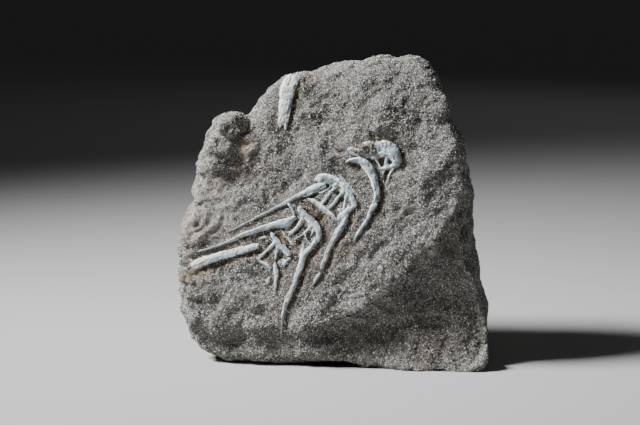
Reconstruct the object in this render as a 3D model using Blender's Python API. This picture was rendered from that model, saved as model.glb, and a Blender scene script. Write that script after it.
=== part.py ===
"""Sandstone block with the vertebrae and spines of a fish weathering out of its front face.

Units are metres, +Z is up. The block stands on its flat foot at z = 0, its fossil face looks
towards -Y and leans back. Outlines and control points are in millimetres, (x, z) as seen from
the front, and are turned into metres as they are used.
"""
import math

import bmesh
import bpy
from mathutils import Matrix, Vector, noise
from mathutils.bvhtree import BVHTree

MM = 0.001

# ---- driving dimensions (mm) -------------------------------------------------------------
FACE_AT_FOOT = -37.9       # y of the leaning front face where it would meet the ground
FACE_LEAN = 0.25           # how far the face goes back for each unit of height
ROCK_VOXEL = 2.4           # cell that rounds the rock's broken edges
ROCK_TRIANGLES = 4150

# Outline of the fossil face where it turns into the sides, anticlockwise from the left (x, z).
FACE_EDGE = [
    (-63.5, 48), (-63.2, 38), (-61.8, 30), (-60.4, 24), (-57.8, 15.4), (-54, 8.8), (-44, 6.6),
    (-31.6, 5.8), (-19.6, 5.8), (-7.6, 8), (4.4, 7.8), (16.4, 5.2), (28.4, 4.2), (38.4, 2.6), (49.4, 2),
    (58.4, 3.2), (65.4, 8), (65.8, 17.5), (60.8, 27.4), (58.2, 37.4), (54.2, 48), (51.6, 57), (53, 66),
    (55.2, 75.5), (53.6, 85.6), (51.6, 95.7), (48, 104), (47, 110), (44.8, 116), (40.4, 122),
    (35.4, 127.6), (27.4, 129), (15.4, 129), (5.4, 127.4), (-1.2, 124), (-4.2, 122), (-18.2, 120.8),
    (-26.8, 117.4), (-31.8, 112), (-34.4, 104.8), (-37, 99.4), (-41.4, 103.2), (-47.4, 101.6),
    (-53, 97), (-54.2, 90), (-57.8, 83), (-56.4, 76.5), (-57.2, 69), (-61, 61), (-63, 54),
]
CENTRE = (2.3, 60.0)

# Slices through the block from the face to the back: depth behind the face at the foot and at the
# top, how far the outline spreads to the left, to the right, upwards and downwards, and how many
# times it is evened out, because the notches of the front edge don't run through to the back.
SLICES = [
    (0.0, 0.0, 1.00, 1.00, 1.00, 1.00, 0),
    (7.0, 6.0, 1.045, 1.02, 1.012, 1.10, 0),
    (24.0, 15.0, 1.05, 0.985, 0.99, 1.14, 3),
    (50.0, 24.0, 1.00, 0.925, 0.96, 1.14, 10),
    (70.0, 31.0, 0.86, 0.83, 0.86, 0.99, 16),
]

# Corners that are worn back behind the face: (x, z), how far around it the wear reaches, and how far
# it moves the side inwards, along x and z, for each millimetre of depth.
WORN_CORNERS = [
    ("top right corner", (49.4, 122.0), 17.0, (-0.30, -0.26)),
    ("notch beside the lump", (-37.6, 103.0), 6.0, (0.0, -0.14)),
]

# Forms of the fossil face: centre (x, z), half-widths along and across, turn in degrees and how far
# it stands out (+) or sinks in (-).
FACE_FORMS = [
    ("boulder lump, upper left", (-49.5, 93.0), 8.0, 9.0, 0.0, 3.6),
    ("crevice beside the lump", (-38.6, 99.0), 2.8, 7.0, -18.0, -3.4),
    ("hollow under the lump", (-43.1, 79.0), 7.0, 4.0, 0.0, -2.2),
    ("shoulder left of the blade bone", (-28.1, 104.0), 4.0, 8.0, 20.0, 1.5),
    ("swelling of the upper right", (20.9, 106.0), 20.0, 14.0, 0.0, 3.0),
    ("dip in the upper middle", (-0.1, 101.0), 6.0, 6.0, 0.0, -2.5),
    ("upright ridge on the right", (39.4, 77.0), 4.0, 10.0, 0.0, 1.8),
    ("trough under the ledge", (34.9, 31.0), 4.0, 9.0, -8.0, -2.0),
    ("pocket in the middle foot", (16.9, 19.0), 8.0, 5.0, 25.0, -2.5),
    ("bulge of the right foot", (44.0, 4.0), 17.0, 8.0, 0.0, 4.5),
    ("pocket in the left foot", (-42.1, 11.0), 8.0, 5.0, 0.0, -2.5),
]

# Stretches of the face's edge that are broken back, written as the forms are. The wear has its full
# depth this far in front of the block's middle and fades out towards it.
WORN_EDGES = [
    ("right edge under the ledge", (67.0, 31.0), 8.0, 14.0, 0.0, 10.0),
]
WORN_EDGE_DEPTH = 24.0

# Broken ledge that ends the bone-bearing surface: (x, z, how far the rock below it sinks back).
LEDGE = [
    (57.0, 72.0, 3.0), (50.2, 65.0, 5.0), (44.3, 54.5, 7.0), (34.5, 48.5, 8.0), (30.4, 39.5, 8.0),
    (24.0, 32.0, 7.5), (9.0, 24.0, 5.0), (-3.6, 19.5, 3.5), (-18.0, 17.0, 2.5), (-42.0, 16.5, 2.5),
    (-57.0, 19.0, 2.0),
]
LEDGE_WIDTH = 5.0          # how far below its line the step reaches its full depth
UNDERCUT = 0.24            # how much deeper the rock lies for each millimetre further below the ledge
UNDERCUT_REACH = 27.0      # how far below the ledge it goes on getting deeper

# ---- bones --------------------------------------------------------------------------------
# Each bone is a set of strokes laid on the rock face. A stroke is a list of (x, z, width) and how
# high it stands for its width; the number beside the name is the bone's triangle budget.
BONES = {
    "vertebra_1": (380, [
        (0.85, [(19.1, 94.1, 3.8), (20.4, 94.4, 4.6), (22.5, 94.0, 5.0), (24.6, 92.5, 5.2),
                (26.3, 90.5, 5.0), (27.4, 88.2, 4.6), (28.0, 86.0, 3.4)]),
        (0.45, [(15.5, 88.3, 2.9), (17.1, 89.5, 3.4), (19.2, 91.2, 3.8), (21.3, 92.1, 3.8)]),
        (0.45, [(15.9, 87.4, 1.7), (18.0, 87.7, 2.5), (20.1, 88.8, 2.9), (22.6, 89.8, 2.9),
                (25.1, 89.7, 2.9)]),
        (0.90, [(16.4, 90.0, 1.1), (18.5, 91.0, 1.3), (20.2, 92.3, 1.3)]),
        (0.90, [(16.6, 88.7, 1.3), (19.4, 89.7, 1.4), (21.1, 91.5, 1.4)]),
        (0.45, [(15.9, 89.5, 1.7), (13.5, 92.4, 2.1), (11.8, 94.7, 1.7), (10.9, 95.3, 0.9)]),
        (0.45, [(16.3, 90.4, 2.1), (15.0, 93.3, 2.3), (13.7, 95.4, 1.3)]),
        (0.45, [(17.1, 91.2, 2.1), (16.9, 93.7, 2.5), (16.2, 95.5, 1.7)]),
        (0.45, [(18.3, 92.0, 2.1), (18.1, 94.1, 2.1), (17.9, 95.4, 1.3)]),
        (0.45, [(14.6, 88.7, 1.7), (11.3, 88.8, 1.7), (8.1, 89.2, 1.4), (7.2, 90.2, 1.3)]),
        (0.45, [(5.2, 90.3, 0.9), (6.8, 91.2, 1.7), (8.7, 91.3, 2.1), (10.2, 90.7, 1.7)]),
        (0.45, [(9.1, 91.5, 1.7), (10.1, 92.8, 1.7), (11.6, 93.8, 2.1), (13.3, 94.1, 2.1)]),
        (0.90, [(27.7, 86.6, 2.1), (26.3, 85.7, 1.4), (24.2, 84.6, 1.3), (21.9, 84.1, 1.3),
                (19.8, 83.9, 1.1)]),
        (0.90, [(21.4, 88.4, 1.4), (22.0, 86.7, 1.3), (23.0, 85.3, 1.4)]),
        (0.90, [(25.2, 88.4, 1.3), (25.0, 87.0, 1.0), (24.2, 84.9, 1.3)]),
        (0.90, [(27.8, 85.8, 1.7), (26.1, 84.2, 1.2), (24.6, 82.7, 1.2), (23.8, 80.8, 1.3),
                (23.6, 79.2, 0.9)]),
    ]),
    "arched_spine": (300, [
        (0.85, [(5.1, 85.8, 0.9), (6.4, 86.4, 1.4), (8.2, 86.6, 2.1), (10.9, 86.6, 3.2),
                (13.3, 85.6, 3.8), (15.4, 83.7, 4.0), (17.0, 81.4, 4.0), (18.1, 79.0, 3.8),
                (18.8, 76.5, 3.4), (19.1, 73.9, 2.8), (19.0, 71.6, 2.3), (18.6, 69.8, 2.6)]),
        (0.90, [(18.6, 70.0, 2.3), (17.4, 69.1, 1.8)]),
        (0.90, [(18.3, 69.4, 2.5), (17.4, 67.5, 2.7), (16.4, 65.5, 2.1), (15.2, 62.5, 1.8),
                (13.4, 59.6, 1.9), (11.6, 56.7, 1.8), (10.1, 53.8, 0.9)]),
    ]),
    "vertebra_2": (560, [
        (0.90, [(-6.1, 78.0, 2.3), (-3.9, 79.5, 3.0), (-0.7, 79.1, 3.1), (1.7, 77.9, 3.2),
                (4.0, 76.2, 3.3), (6.0, 74.3, 3.4), (7.7, 71.9, 3.4), (9.1, 69.3, 3.2), (9.6, 67.6, 2.1)]),
        (0.90, [(-9.4, 79.3, 1.2), (-8.0, 80.2, 1.8), (-6.4, 80.0, 1.8), (-4.8, 79.4, 1.9)]),
        (0.90, [(-6.5, 76.7, 1.3), (-5.3, 78.0, 1.5)]),
        (0.90, [(0.0, 77.9, 1.9), (-1.0, 76.2, 1.2), (-2.1, 74.6, 1.1), (-3.8, 73.5, 1.0),
                (-4.5, 73.1, 0.9)]),
        (0.90, [(1.9, 77.1, 1.9), (1.0, 75.7, 1.3), (-0.1, 74.0, 1.3), (-2.1, 71.5, 1.3),
                (-3.6, 69.4, 1.4), (-4.5, 68.4, 1.3)]),
        (0.90, [(-0.1, 74.2, 1.0), (-2.1, 73.3, 0.9), (-3.5, 71.5, 0.9)]),
        (0.90, [(4.8, 74.3, 1.9), (3.7, 73.3, 1.3), (2.6, 71.8, 1.3), (1.0, 69.4, 1.3), (-1.1, 67.0, 1.3),
                (-2.1, 66.1, 1.1)]),
        (0.90, [(6.6, 72.7, 1.7), (5.9, 71.7, 1.3), (5.4, 70.0, 1.2), (5.1, 67.8, 1.3), (4.9, 66.1, 1.7)]),
        (0.90, [(5.4, 69.0, 0.9), (6.5, 67.8, 1.0), (7.7, 66.3, 1.4)]),
        (0.90, [(9.7, 67.9, 1.4), (8.3, 66.8, 2.3), (6.5, 65.8, 2.5), (5.3, 64.7, 2.9), (5.3, 63.1, 2.5)]),
        (0.90, [(1.9, 66.5, 1.0), (3.4, 65.9, 1.9), (4.6, 64.6, 2.1)]),
        (0.90, [(6.6, 65.1, 2.1), (6.1, 63.3, 2.1), (5.1, 61.6, 1.9)]),
        (0.90, [(4.2, 63.6, 1.7), (3.6, 62.2, 1.0), (2.8, 60.6, 0.9), (2.3, 59.3, 0.9)]),
        (0.90, [(2.8, 79.1, 1.3), (5.2, 77.0, 1.4), (7.5, 74.6, 1.4), (9.6, 72.0, 1.0)]),
        (0.90, [(-11.0, 70.0, 1.5), (-9.7, 69.9, 2.0), (-7.7, 69.0, 2.5), (-4.8, 67.1, 2.9),
                (-1.9, 65.0, 2.7), (0.4, 63.3, 2.1), (2.5, 61.7, 1.1)]),
    ]),
    "neural_spine_2": (130, [
        (0.90, [(-5.2, 74.7, 1.9), (-7.7, 74.0, 2.4), (-10.4, 73.1, 2.3), (-13.0, 71.9, 2.1),
                (-15.9, 70.5, 1.9), (-19.1, 68.9, 1.8), (-22.1, 67.3, 1.7), (-24.7, 65.9, 1.6),
                (-27.5, 64.4, 1.4), (-30.3, 63.0, 1.3), (-33.7, 61.2, 1.1), (-37.4, 59.3, 0.9),
                (-41.2, 57.3, 0.9), (-45.1, 55.5, 0.9)]),
        (0.90, [(-3.3, 75.9, 1.0), (-5.0, 75.6, 1.4), (-7.5, 74.9, 1.5)]),
        (0.90, [(-4.2, 73.4, 1.0), (-5.5, 72.9, 1.1), (-6.6, 73.7, 1.1)]),
    ]),
    "haemal_spine_2": (140, [
        (0.90, [(4.7, 61.0, 1.9), (4.0, 59.6, 2.3), (2.7, 58.1, 2.9), (1.7, 56.6, 3.1), (0.9, 54.4, 2.8),
                (0.0, 52.3, 2.5), (-1.1, 49.9, 2.5), (-2.3, 46.6, 2.6), (-3.4, 43.9, 2.4),
                (-3.8, 42.1, 1.7)]),
    ]),
    "haemal_spine_2_tip": (50, [
        (0.90, [(-4.1, 40.4, 1.7), (-5.2, 39.1, 2.1), (-6.2, 37.5, 2.1), (-7.5, 35.1, 1.0)]),
    ]),
    "spine_needle": (36, [
        (0.90, [(-8.2, 33.1, 0.9), (-9.1, 31.3, 0.9), (-10.1, 29.5, 0.9), (-11.1, 27.7, 0.9)]),
    ]),
    "cross_bar": (40, [
        (0.90, [(-19.5, 68.6, 1.0), (-18.6, 67.7, 1.4), (-17.5, 66.6, 1.6), (-16.8, 65.3, 1.6),
                (-16.3, 63.9, 1.1)]),
    ]),
    "vertebra_3": (600, [
        (0.85, [(-14.2, 67.3, 1.9), (-13.6, 66.2, 2.9), (-12.3, 64.3, 3.4), (-9.8, 61.9, 3.6),
                (-6.9, 59.3, 3.6), (-5.3, 57.2, 3.4), (-5.3, 55.0, 2.9), (-6.2, 53.2, 3.0)]),
        (0.90, [(-5.0, 58.0, 2.1), (-4.5, 55.4, 2.1)]),
        (0.90, [(-6.2, 53.2, 2.9), (-7.3, 51.4, 2.6), (-9.0, 49.5, 2.7), (-10.4, 48.1, 2.8),
                (-11.3, 46.6, 3.0)]),
        (0.90, [(-11.5, 51.5, 0.9), (-11.7, 49.9, 1.7), (-12.1, 48.3, 2.3), (-12.1, 46.4, 2.5)]),
        (0.90, [(-12.2, 62.1, 2.1), (-13.1, 60.5, 1.5), (-14.4, 58.3, 1.4), (-16.0, 56.6, 1.4),
                (-17.5, 55.1, 1.2), (-18.3, 54.0, 0.9)]),
        (0.90, [(-13.9, 65.2, 1.3), (-13.7, 63.2, 0.9), (-13.6, 61.6, 0.9)]),
        (0.90, [(-15.0, 57.8, 1.0), (-17.3, 56.5, 0.9), (-19.3, 56.1, 0.9)]),
        (0.90, [(-8.5, 59.5, 1.9), (-9.5, 58.3, 1.2), (-11.4, 55.9, 1.1), (-13.7, 54.3, 0.9),
                (-15.9, 52.9, 0.9)]),
        (0.90, [(-11.4, 55.8, 0.9), (-10.3, 53.5, 0.9), (-8.5, 51.5, 0.9)]),
        (0.90, [(-7.2, 57.9, 1.3), (-7.9, 56.3, 0.9), (-8.4, 54.6, 0.9), (-9.0, 52.8, 0.9)]),
        (0.90, [(-22.5, 58.1, 0.9), (-21.0, 56.4, 0.9), (-19.4, 54.7, 1.3), (-17.6, 53.0, 1.9),
                (-16.3, 51.7, 1.7), (-15.1, 50.3, 0.9)]),
    ]),
    "haemal_spine_3": (220, [
        (0.85, [(-11.3, 47.1, 3.4), (-12.1, 45.8, 4.0), (-12.5, 43.8, 3.8), (-13.3, 40.9, 3.6),
                (-14.3, 37.6, 3.4), (-15.5, 34.3, 3.2), (-17.1, 30.6, 3.1), (-18.1, 28.0, 3.0),
                (-18.8, 25.5, 2.5), (-19.4, 22.8, 2.0), (-19.9, 19.4, 1.5), (-20.3, 15.8, 1.1),
                (-20.8, 12.5, 0.9)]),
    ]),
    "neural_spine_3": (180, [
        (0.90, [(-15.9, 62.9, 1.5), (-17.9, 61.7, 3.0), (-20.1, 60.7, 3.4), (-23.2, 59.9, 3.1),
                (-25.9, 59.2, 2.8), (-28.6, 58.3, 2.5), (-31.4, 57.4, 2.4), (-34.0, 56.4, 2.3),
                (-38.1, 55.0, 2.0), (-42.1, 53.0, 1.7), (-47.1, 50.9, 1.3), (-51.9, 49.2, 1.0),
                (-57.0, 47.6, 0.9), (-60.9, 46.0, 0.9)]),
        (0.90, [(-18.1, 60.6, 1.7), (-19.5, 58.9, 1.7), (-20.9, 58.5, 1.0), (-22.2, 58.6, 1.0)]),
        (0.90, [(-23.4, 61.4, 0.9), (-23.6, 62.2, 0.9)]),
    ]),
    "vertebra_4": (300, [
        (0.90, [(-25.9, 56.0, 1.3), (-25.1, 54.8, 2.3), (-23.8, 53.2, 2.7), (-21.8, 51.1, 2.8),
                (-19.7, 49.2, 3.0), (-17.8, 47.7, 3.0), (-16.9, 46.9, 1.9)]),
        (0.90, [(-23.6, 52.4, 2.1), (-24.9, 50.9, 1.4), (-26.8, 48.9, 1.3), (-28.7, 47.1, 1.3),
                (-30.2, 45.5, 1.4), (-31.1, 44.4, 1.3)]),
        (0.90, [(-22.4, 50.4, 2.1), (-22.9, 48.8, 1.3), (-23.2, 47.1, 1.2), (-23.4, 45.2, 1.3)]),
        (0.90, [(-31.9, 45.7, 1.0), (-30.3, 44.2, 1.7), (-28.4, 43.1, 1.9), (-26.6, 42.2, 2.1),
                (-25.2, 41.1, 1.5)]),
        (0.90, [(-27.1, 42.5, 1.0), (-25.4, 43.7, 0.9), (-23.4, 45.2, 1.0)]),
    ]),
    "haemal_spine_4": (90, [
        (0.90, [(-23.4, 43.8, 1.3), (-23.1, 42.4, 2.4), (-22.6, 40.6, 3.1), (-22.4, 38.5, 3.0),
                (-22.5, 36.5, 2.5), (-22.6, 34.3, 1.9), (-22.6, 32.4, 1.3), (-22.5, 30.6, 0.9)]),
    ]),
    "neural_spine_4": (130, [
        (0.85, [(-31.2, 50.7, 2.0), (-33.2, 50.1, 2.7), (-37.0, 48.9, 2.9), (-40.5, 48.0, 3.0),
                (-43.6, 47.1, 3.1), (-46.9, 46.1, 3.2), (-50.1, 45.0, 3.3), (-52.9, 44.1, 3.6),
                (-55.5, 43.1, 3.8), (-57.8, 42.0, 3.7), (-59.7, 41.2, 2.8)]),
    ]),
    "fragment_4": (70, [
        (0.90, [(-16.7, 46.1, 0.9), (-17.7, 45.3, 1.4), (-19.1, 44.4, 2.1), (-19.6, 43.2, 1.9),
                (-19.6, 41.9, 0.9)]),
        (0.90, [(-20.8, 45.2, 0.9), (-19.1, 44.4, 1.9)]),
        (0.90, [(-17.8, 43.2, 0.9), (-19.1, 44.3, 1.7)]),
    ]),
    "bone_blade": (150, [
        (0.45, [(-20.0, 121.0, 3.8), (-20.4, 119.5, 5.4), (-20.8, 117.5, 6.2), (-21.2, 115.2, 6.6),
                (-21.5, 112.7, 6.1), (-21.9, 110.1, 5.5), (-22.3, 107.7, 4.9), (-22.7, 105.2, 4.1),
                (-23.1, 103.1, 3.6), (-23.6, 101.1, 2.6), (-24.0, 99.6, 1.1)]),
        (0.45, [(-20.3, 107.7, 2.6), (-20.7, 104.4, 2.1), (-21.1, 101.9, 2.0), (-21.3, 99.8, 1.6),
                (-21.6, 98.4, 0.9)]),
    ]),
    "flake_left": (30, [
        (0.45, [(-31.4, 53.2, 0.9), (-30.0, 53.6, 1.4), (-28.5, 53.8, 1.6), (-27.1, 54.0, 0.9)]),
    ]),
    "flake_lower": (30, [
        (0.45, [(-25.8, 38.0, 0.9), (-26.2, 36.6, 2.1), (-26.5, 35.4, 2.1), (-26.7, 34.3, 0.9)]),
    ]),
    "flake_needle": (30, [
        (0.90, [(6.6, 50.1, 0.9), (5.8, 48.4, 0.9), (4.7, 46.4, 0.9)]),
    ]),
}
BONE_LIFT = 0.45           # how far a stroke's centre stands off the rock, as a share of its half-width
BONE_VOXEL = 0.32          # cell that fuses a bone's strokes into one rounded body
BONE_GAP = 0.45            # clearance to a neighbouring bone
POCKET_GAP = 0.6           # clearance to the rock that a bone lies in
POCKET_SHARE = 0.36        # triangles of a pocket, as a share of its bone's
SIDES = 10                 # points round a stroke


def face_y(z):
    return FACE_AT_FOOT + FACE_LEAN * z


def evened_outline(times):
    """The outline with its notches evened out, stretched back to its full width and height."""
    outline = list(FACE_EDGE)
    count = len(outline)
    for _ in range(times):
        outline = [
            tuple((outline[i - 1][k] + 2 * outline[i][k] + outline[(i + 1) % count][k]) / 4 for k in range(2))
            for i in range(count)
        ]
    full = [(min(p[k] for p in FACE_EDGE), max(p[k] for p in FACE_EDGE)) for k in range(2)]
    now = [(min(p[k] for p in outline), max(p[k] for p in outline)) for k in range(2)]
    return [
        tuple(
            full[k][0] + (p[k] - now[k][0]) * (full[k][1] - full[k][0]) / (now[k][1] - now[k][0])
            for k in range(2)
        )
        for p in outline
    ]


def rock_blockout():
    """Loft the outline through the slices into one closed body."""
    bm = bmesh.new()
    rings = []
    for foot, top, left, right, up, down, evened in SLICES:
        outline = evened_outline(evened)
        ring = []
        for x, z in outline:
            share = min(max(z / 128.0, 0.0), 1.0)
            px = CENTRE[0] + (x - CENTRE[0]) * (left if x < CENTRE[0] else right)
            pz = CENTRE[1] + (z - CENTRE[1]) * (up if z > CENTRE[1] else down)
            depth = foot + (top - foot) * share
            py = face_y(z) + depth
            for _, (worn_x, worn_z), reach, (in_x, in_z) in WORN_CORNERS:
                away = math.hypot(x - worn_x, z - worn_z)
                wear = depth * math.exp(-0.5 * (away / reach) ** 2)
                px += in_x * wear
                pz += in_z * wear
            ring.append(bm.verts.new(Vector((px, py, pz)) * MM))
        rings.append(ring)
    count = len(FACE_EDGE)
    for near, far in zip(rings, rings[1:]):
        for i in range(count):
            j = (i + 1) % count
            bm.faces.new((near[i], near[j], far[j], far[i]))
    bm.faces.new(rings[0])
    bm.faces.new(rings[-1])
    bmesh.ops.triangulate(bm, faces=[f for f in bm.faces if len(f.verts) > 4])
    bmesh.ops.recalc_face_normals(bm, faces=bm.faces)
    mesh = bpy.data.meshes.new("rock_matrix")
    bm.to_mesh(mesh)
    bm.free()
    rock = bpy.data.objects.new("rock_matrix", mesh)
    bpy.context.collection.objects.link(rock)
    return rock


def bake_modifiers(obj):
    """Replace the object's mesh by what its modifiers make of it."""
    depsgraph = bpy.context.evaluated_depsgraph_get()
    mesh = bpy.data.meshes.new_from_object(obj.evaluated_get(depsgraph))
    obj.modifiers.clear()
    obj.data = mesh


def remesh(obj, voxel):
    mod = obj.modifiers.new("Remesh", "REMESH")
    mod.mode = "VOXEL"
    mod.voxel_size = voxel * MM
    bake_modifiers(obj)


def decimate(obj, triangles):
    obj.modifiers.new("Triangulate", "TRIANGULATE")
    bake_modifiers(obj)
    mod = obj.modifiers.new("Decimate", "DECIMATE")
    mod.ratio = min(1.0, triangles / len(obj.data.polygons))
    bake_modifiers(obj)


def form_height(x, z, centre, along, across, turn, height):
    c = math.cos(math.radians(turn))
    s = math.sin(math.radians(turn))
    u = (x - centre[0]) * c + (z - centre[1]) * s
    v = -(x - centre[0]) * s + (z - centre[1]) * c
    return height * math.exp(-0.5 * ((u / along) ** 2 + (v / across) ** 2))


def ledge_drop(x, z):
    """Depth of the rock below the ledge line: a step at the line, then a slow lean inwards."""
    best = None
    for (ax, az, ad), (bx, bz, bd) in zip(LEDGE, LEDGE[1:]):
        dx, dz = bx - ax, bz - az
        t = min(max(((x - ax) * dx + (z - az) * dz) / (dx * dx + dz * dz), 0.0), 1.0)
        ox, oz = x - (ax + t * dx), z - (az + t * dz)
        away = math.hypot(ox, oz)
        below = (dx * oz - dz * ox) > 0.0
        if best is None or away < best[0]:
            best = (away, below, ad + t * (bd - ad))
    away, below, drop = best
    if not below:
        return 0.0
    edge = min(away / LEDGE_WIDTH, 1.0)
    return drop * edge * edge * (3.0 - 2.0 * edge) + UNDERCUT * min(away, UNDERCUT_REACH)


def broken_relief(p, size, seed):
    """Rounded lumps with sharp valleys between them, as coarse sandstone breaks."""
    return abs(noise.noise(p / size + Vector((seed, 0, 0)))) * 2.0 - 0.5


def shape_rock(rock):
    mesh = rock.data
    mesh.calc_loop_triangles()
    normals = [v.normal.copy() for v in mesh.vertices]
    face_out = Vector((0, -1, FACE_LEAN)).normalized()
    for vert, normal in zip(mesh.vertices, normals):
        p = vert.co / MM
        facing = max(0.0, normal.dot(face_out))
        step = 0.0
        for _, centre, along, across, turn, height in FACE_FORMS:
            step += form_height(p.x, p.z, centre, along, across, turn, height)
        wander = Vector((noise.noise(p / 13.0), 0.0, noise.noise(p / 13.0 + Vector((5, 5, 5))))) * 5.0
        step -= ledge_drop(p.x + wander.x, p.z + wander.z)
        rough = 1.6 * broken_relief(p, 26.0, 3.1) + 0.9 * broken_relief(p, 11.0, 7.7)
        rough += 0.5 * noise.noise(p / 5.0)
        rough += 2.2 * (1.0 - facing) * broken_relief(p, 38.0, 1.3) * min(max((p.y + 10.0) / 30.0, 0.0), 1.0)
        calm = 0.70 + 0.30 * (1.0 - facing)
        vert.co += (face_out * step * facing + normal * rough * calm) * MM
        in_front = min(max(-p.y / WORN_EDGE_DEPTH, 0.0), 1.0)
        for _, centre, along, across, turn, worn in WORN_EDGES:
            vert.co.y += form_height(p.x, p.z, centre, along, across, turn, worn) * in_front * MM


def build_rock():
    rock = rock_blockout()
    remesh(rock, ROCK_VOXEL)
    shape_rock(rock)
    decimate(rock, ROCK_TRIANGLES)
    bm = bmesh.new()
    bm.from_mesh(rock.data)
    geometry = bm.verts[:] + bm.edges[:] + bm.faces[:]
    cut = bmesh.ops.bisect_plane(bm, geom=geometry, plane_co=(0, 0, 0), plane_no=(0, 0, -1), clear_outer=True)
    rim = [e for e in cut["geom_cut"] if isinstance(e, bmesh.types.BMEdge)]
    bmesh.ops.edgenet_fill(bm, edges=rim)
    bmesh.ops.triangulate(bm, faces=bm.faces[:])
    bmesh.ops.recalc_face_normals(bm, faces=bm.faces)
    bm.to_mesh(rock.data)
    bm.free()
    return rock


def smooth_points(points, spacing):
    """Points along a Catmull-Rom curve through the stroke's own points."""
    pts = [points[0]] + list(points) + [points[-1]]
    out = []
    for p0, p1, p2, p3 in zip(pts, pts[1:], pts[2:], pts[3:]):
        count = max(1, round(math.hypot(p2[0] - p1[0], p2[1] - p1[1]) / spacing))
        for step in range(count):
            t = step / count
            row = []
            for a, b, c, d in zip(p0, p1, p2, p3):
                bend = 2 * a - 5 * b + 4 * c - d
                twist = 3 * b - a - 3 * c + d
                row.append(0.5 * (2 * b + (c - a) * t + bend * t * t + twist * t ** 3))
            out.append(row)
    out.append(list(points[-1]))
    return out


def rock_depth(tree, x, z):
    """y of the rock face (mm) around (x, z), averaged so a bone doesn't follow every bump."""
    found = []
    for dx, dz in ((0, 0), (1.5, 0), (-1.5, 0), (0, 1.5), (0, -1.5)):
        hit = tree.ray_cast(Vector((x + dx, -200.0, z + dz)) * MM, Vector((0, 1, 0)))[0]
        if hit is not None:
            found.append(hit.y / MM)
    return sum(found) / len(found)


def add_stroke(bm, tree, height, points):
    """A round-ended bar of elliptical section laid on the rock along the stroke."""
    face_out = Vector((0, -1, FACE_LEAN)).normalized()
    path = []
    for x, z, width in smooth_points(points, 0.9):
        centre = Vector((x, rock_depth(tree, x, z), z))
        path.append((centre + face_out * (0.25 + BONE_LIFT * width * 0.5 * height), width * 0.5))
    rings = []
    last = len(path) - 1
    for i, (centre, radius) in enumerate(path):
        ahead = path[min(i + 1, last)][0] - path[max(i - 1, 0)][0]
        side = ahead.cross(face_out).normalized()
        rise = side.cross(ahead).normalized()
        if rise.dot(face_out) < 0:
            rise = -rise
        if i == 0:
            stops = [(-0.75, 0.45), (-0.4, 0.85), (0.0, 1.0)]
        elif i == last:
            stops = [(0.0, 1.0), (0.4, 0.85), (0.75, 0.45)]
        else:
            stops = [(0.0, 1.0)]
        for along, share in stops:
            ring = []
            for k in range(SIDES):
                turn = 2 * math.pi * k / SIDES
                offset = side * (math.cos(turn) * radius) + rise * (math.sin(turn) * radius * height)
                place = centre + ahead.normalized() * (along * radius) + offset * share
                ring.append(bm.verts.new(place * MM))
            rings.append(ring)
    for near, far in zip(rings, rings[1:]):
        for k in range(SIDES):
            j = (k + 1) % SIDES
            bm.faces.new((near[k], near[j], far[j], far[k]))
    bm.faces.new(rings[0])
    bm.faces.new(rings[-1])


def keep_largest(obj):
    """Drop loose crumbs, so the object stays one closed body."""
    bm = bmesh.new()
    bm.from_mesh(obj.data)
    left = set(bm.verts)
    islands = []
    while left:
        todo = [left.pop()]
        island = set(todo)
        while todo:
            for edge in todo.pop().link_edges:
                for vert in edge.verts:
                    if vert in left:
                        left.discard(vert)
                        island.add(vert)
                        todo.append(vert)
        islands.append(island)
    islands.sort(key=len)
    loose = [v for island in islands[:-1] for v in island]
    bmesh.ops.delete(bm, geom=loose, context="VERTS")
    bm.to_mesh(obj.data)
    bm.free()


def build_bone(name, tree):
    height_strokes = BONES[name][1]
    bm = bmesh.new()
    for height, points in height_strokes:
        add_stroke(bm, tree, height, points)
    bmesh.ops.recalc_face_normals(bm, faces=bm.faces)
    mesh = bpy.data.meshes.new(name)
    bm.to_mesh(mesh)
    bm.free()
    obj = bpy.data.objects.new(name, mesh)
    bpy.context.collection.objects.link(obj)
    remesh(obj, BONE_VOXEL)
    keep_largest(obj)
    return obj


def grown_copy(obj, name, gap, voxel):
    """The same form, larger by the gap on every side, to cut its bed with."""
    copy = bpy.data.objects.new(name, obj.data.copy())
    bpy.context.collection.objects.link(copy)
    normals = [v.normal.copy() for v in copy.data.vertices]
    for vert, normal in zip(copy.data.vertices, normals):
        vert.co += normal * (gap * MM)
    remesh(copy, voxel)
    keep_largest(copy)
    return copy


def cut(obj, cutter):
    mod = obj.modifiers.new("Cut", "BOOLEAN")
    mod.operation = "DIFFERENCE"
    mod.solver = "EXACT"
    mod.object = cutter
    bake_modifiers(obj)


def boxes_meet(a, b):
    """Whether the two meshes' bounding boxes overlap."""
    for axis in range(3):
        a_values = [v.co[axis] for v in a.data.vertices]
        b_values = [v.co[axis] for v in b.data.vertices]
        if max(a_values) < min(b_values) or max(b_values) < min(a_values):
            return False
    return True


for old in list(bpy.data.objects):
    bpy.data.objects.remove(old, do_unlink=True)

sandstone = bpy.data.materials.new("sandstone")
sandstone.use_nodes = True
sandstone.node_tree.nodes["Principled BSDF"].inputs["Base Color"].default_value = (0.30, 0.26, 0.22, 1)
sandstone.node_tree.nodes["Principled BSDF"].inputs["Roughness"].default_value = 0.9
sandstone.node_tree.nodes["Principled BSDF"].inputs["Metallic"].default_value = 0.0

rock = build_rock()
rock.data.materials.clear()
rock.data.materials.append(sandstone)

rock_mesh = bmesh.new()
rock_mesh.from_mesh(rock.data)
face_tree = BVHTree.FromBMesh(rock_mesh)
rock_mesh.free()

placed = []
pockets = []
for bone_name in BONES:
    bone = build_bone(bone_name, face_tree)
    trimmed = False
    for other, grown in placed:
        if boxes_meet(bone, grown):
            cut(bone, grown)
            trimmed = True
    if trimmed:
        remesh(bone, BONE_VOXEL)
        keep_largest(bone)
    placed.append((bone, grown_copy(bone, bone_name + "_bed", BONE_GAP, BONE_VOXEL)))

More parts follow.
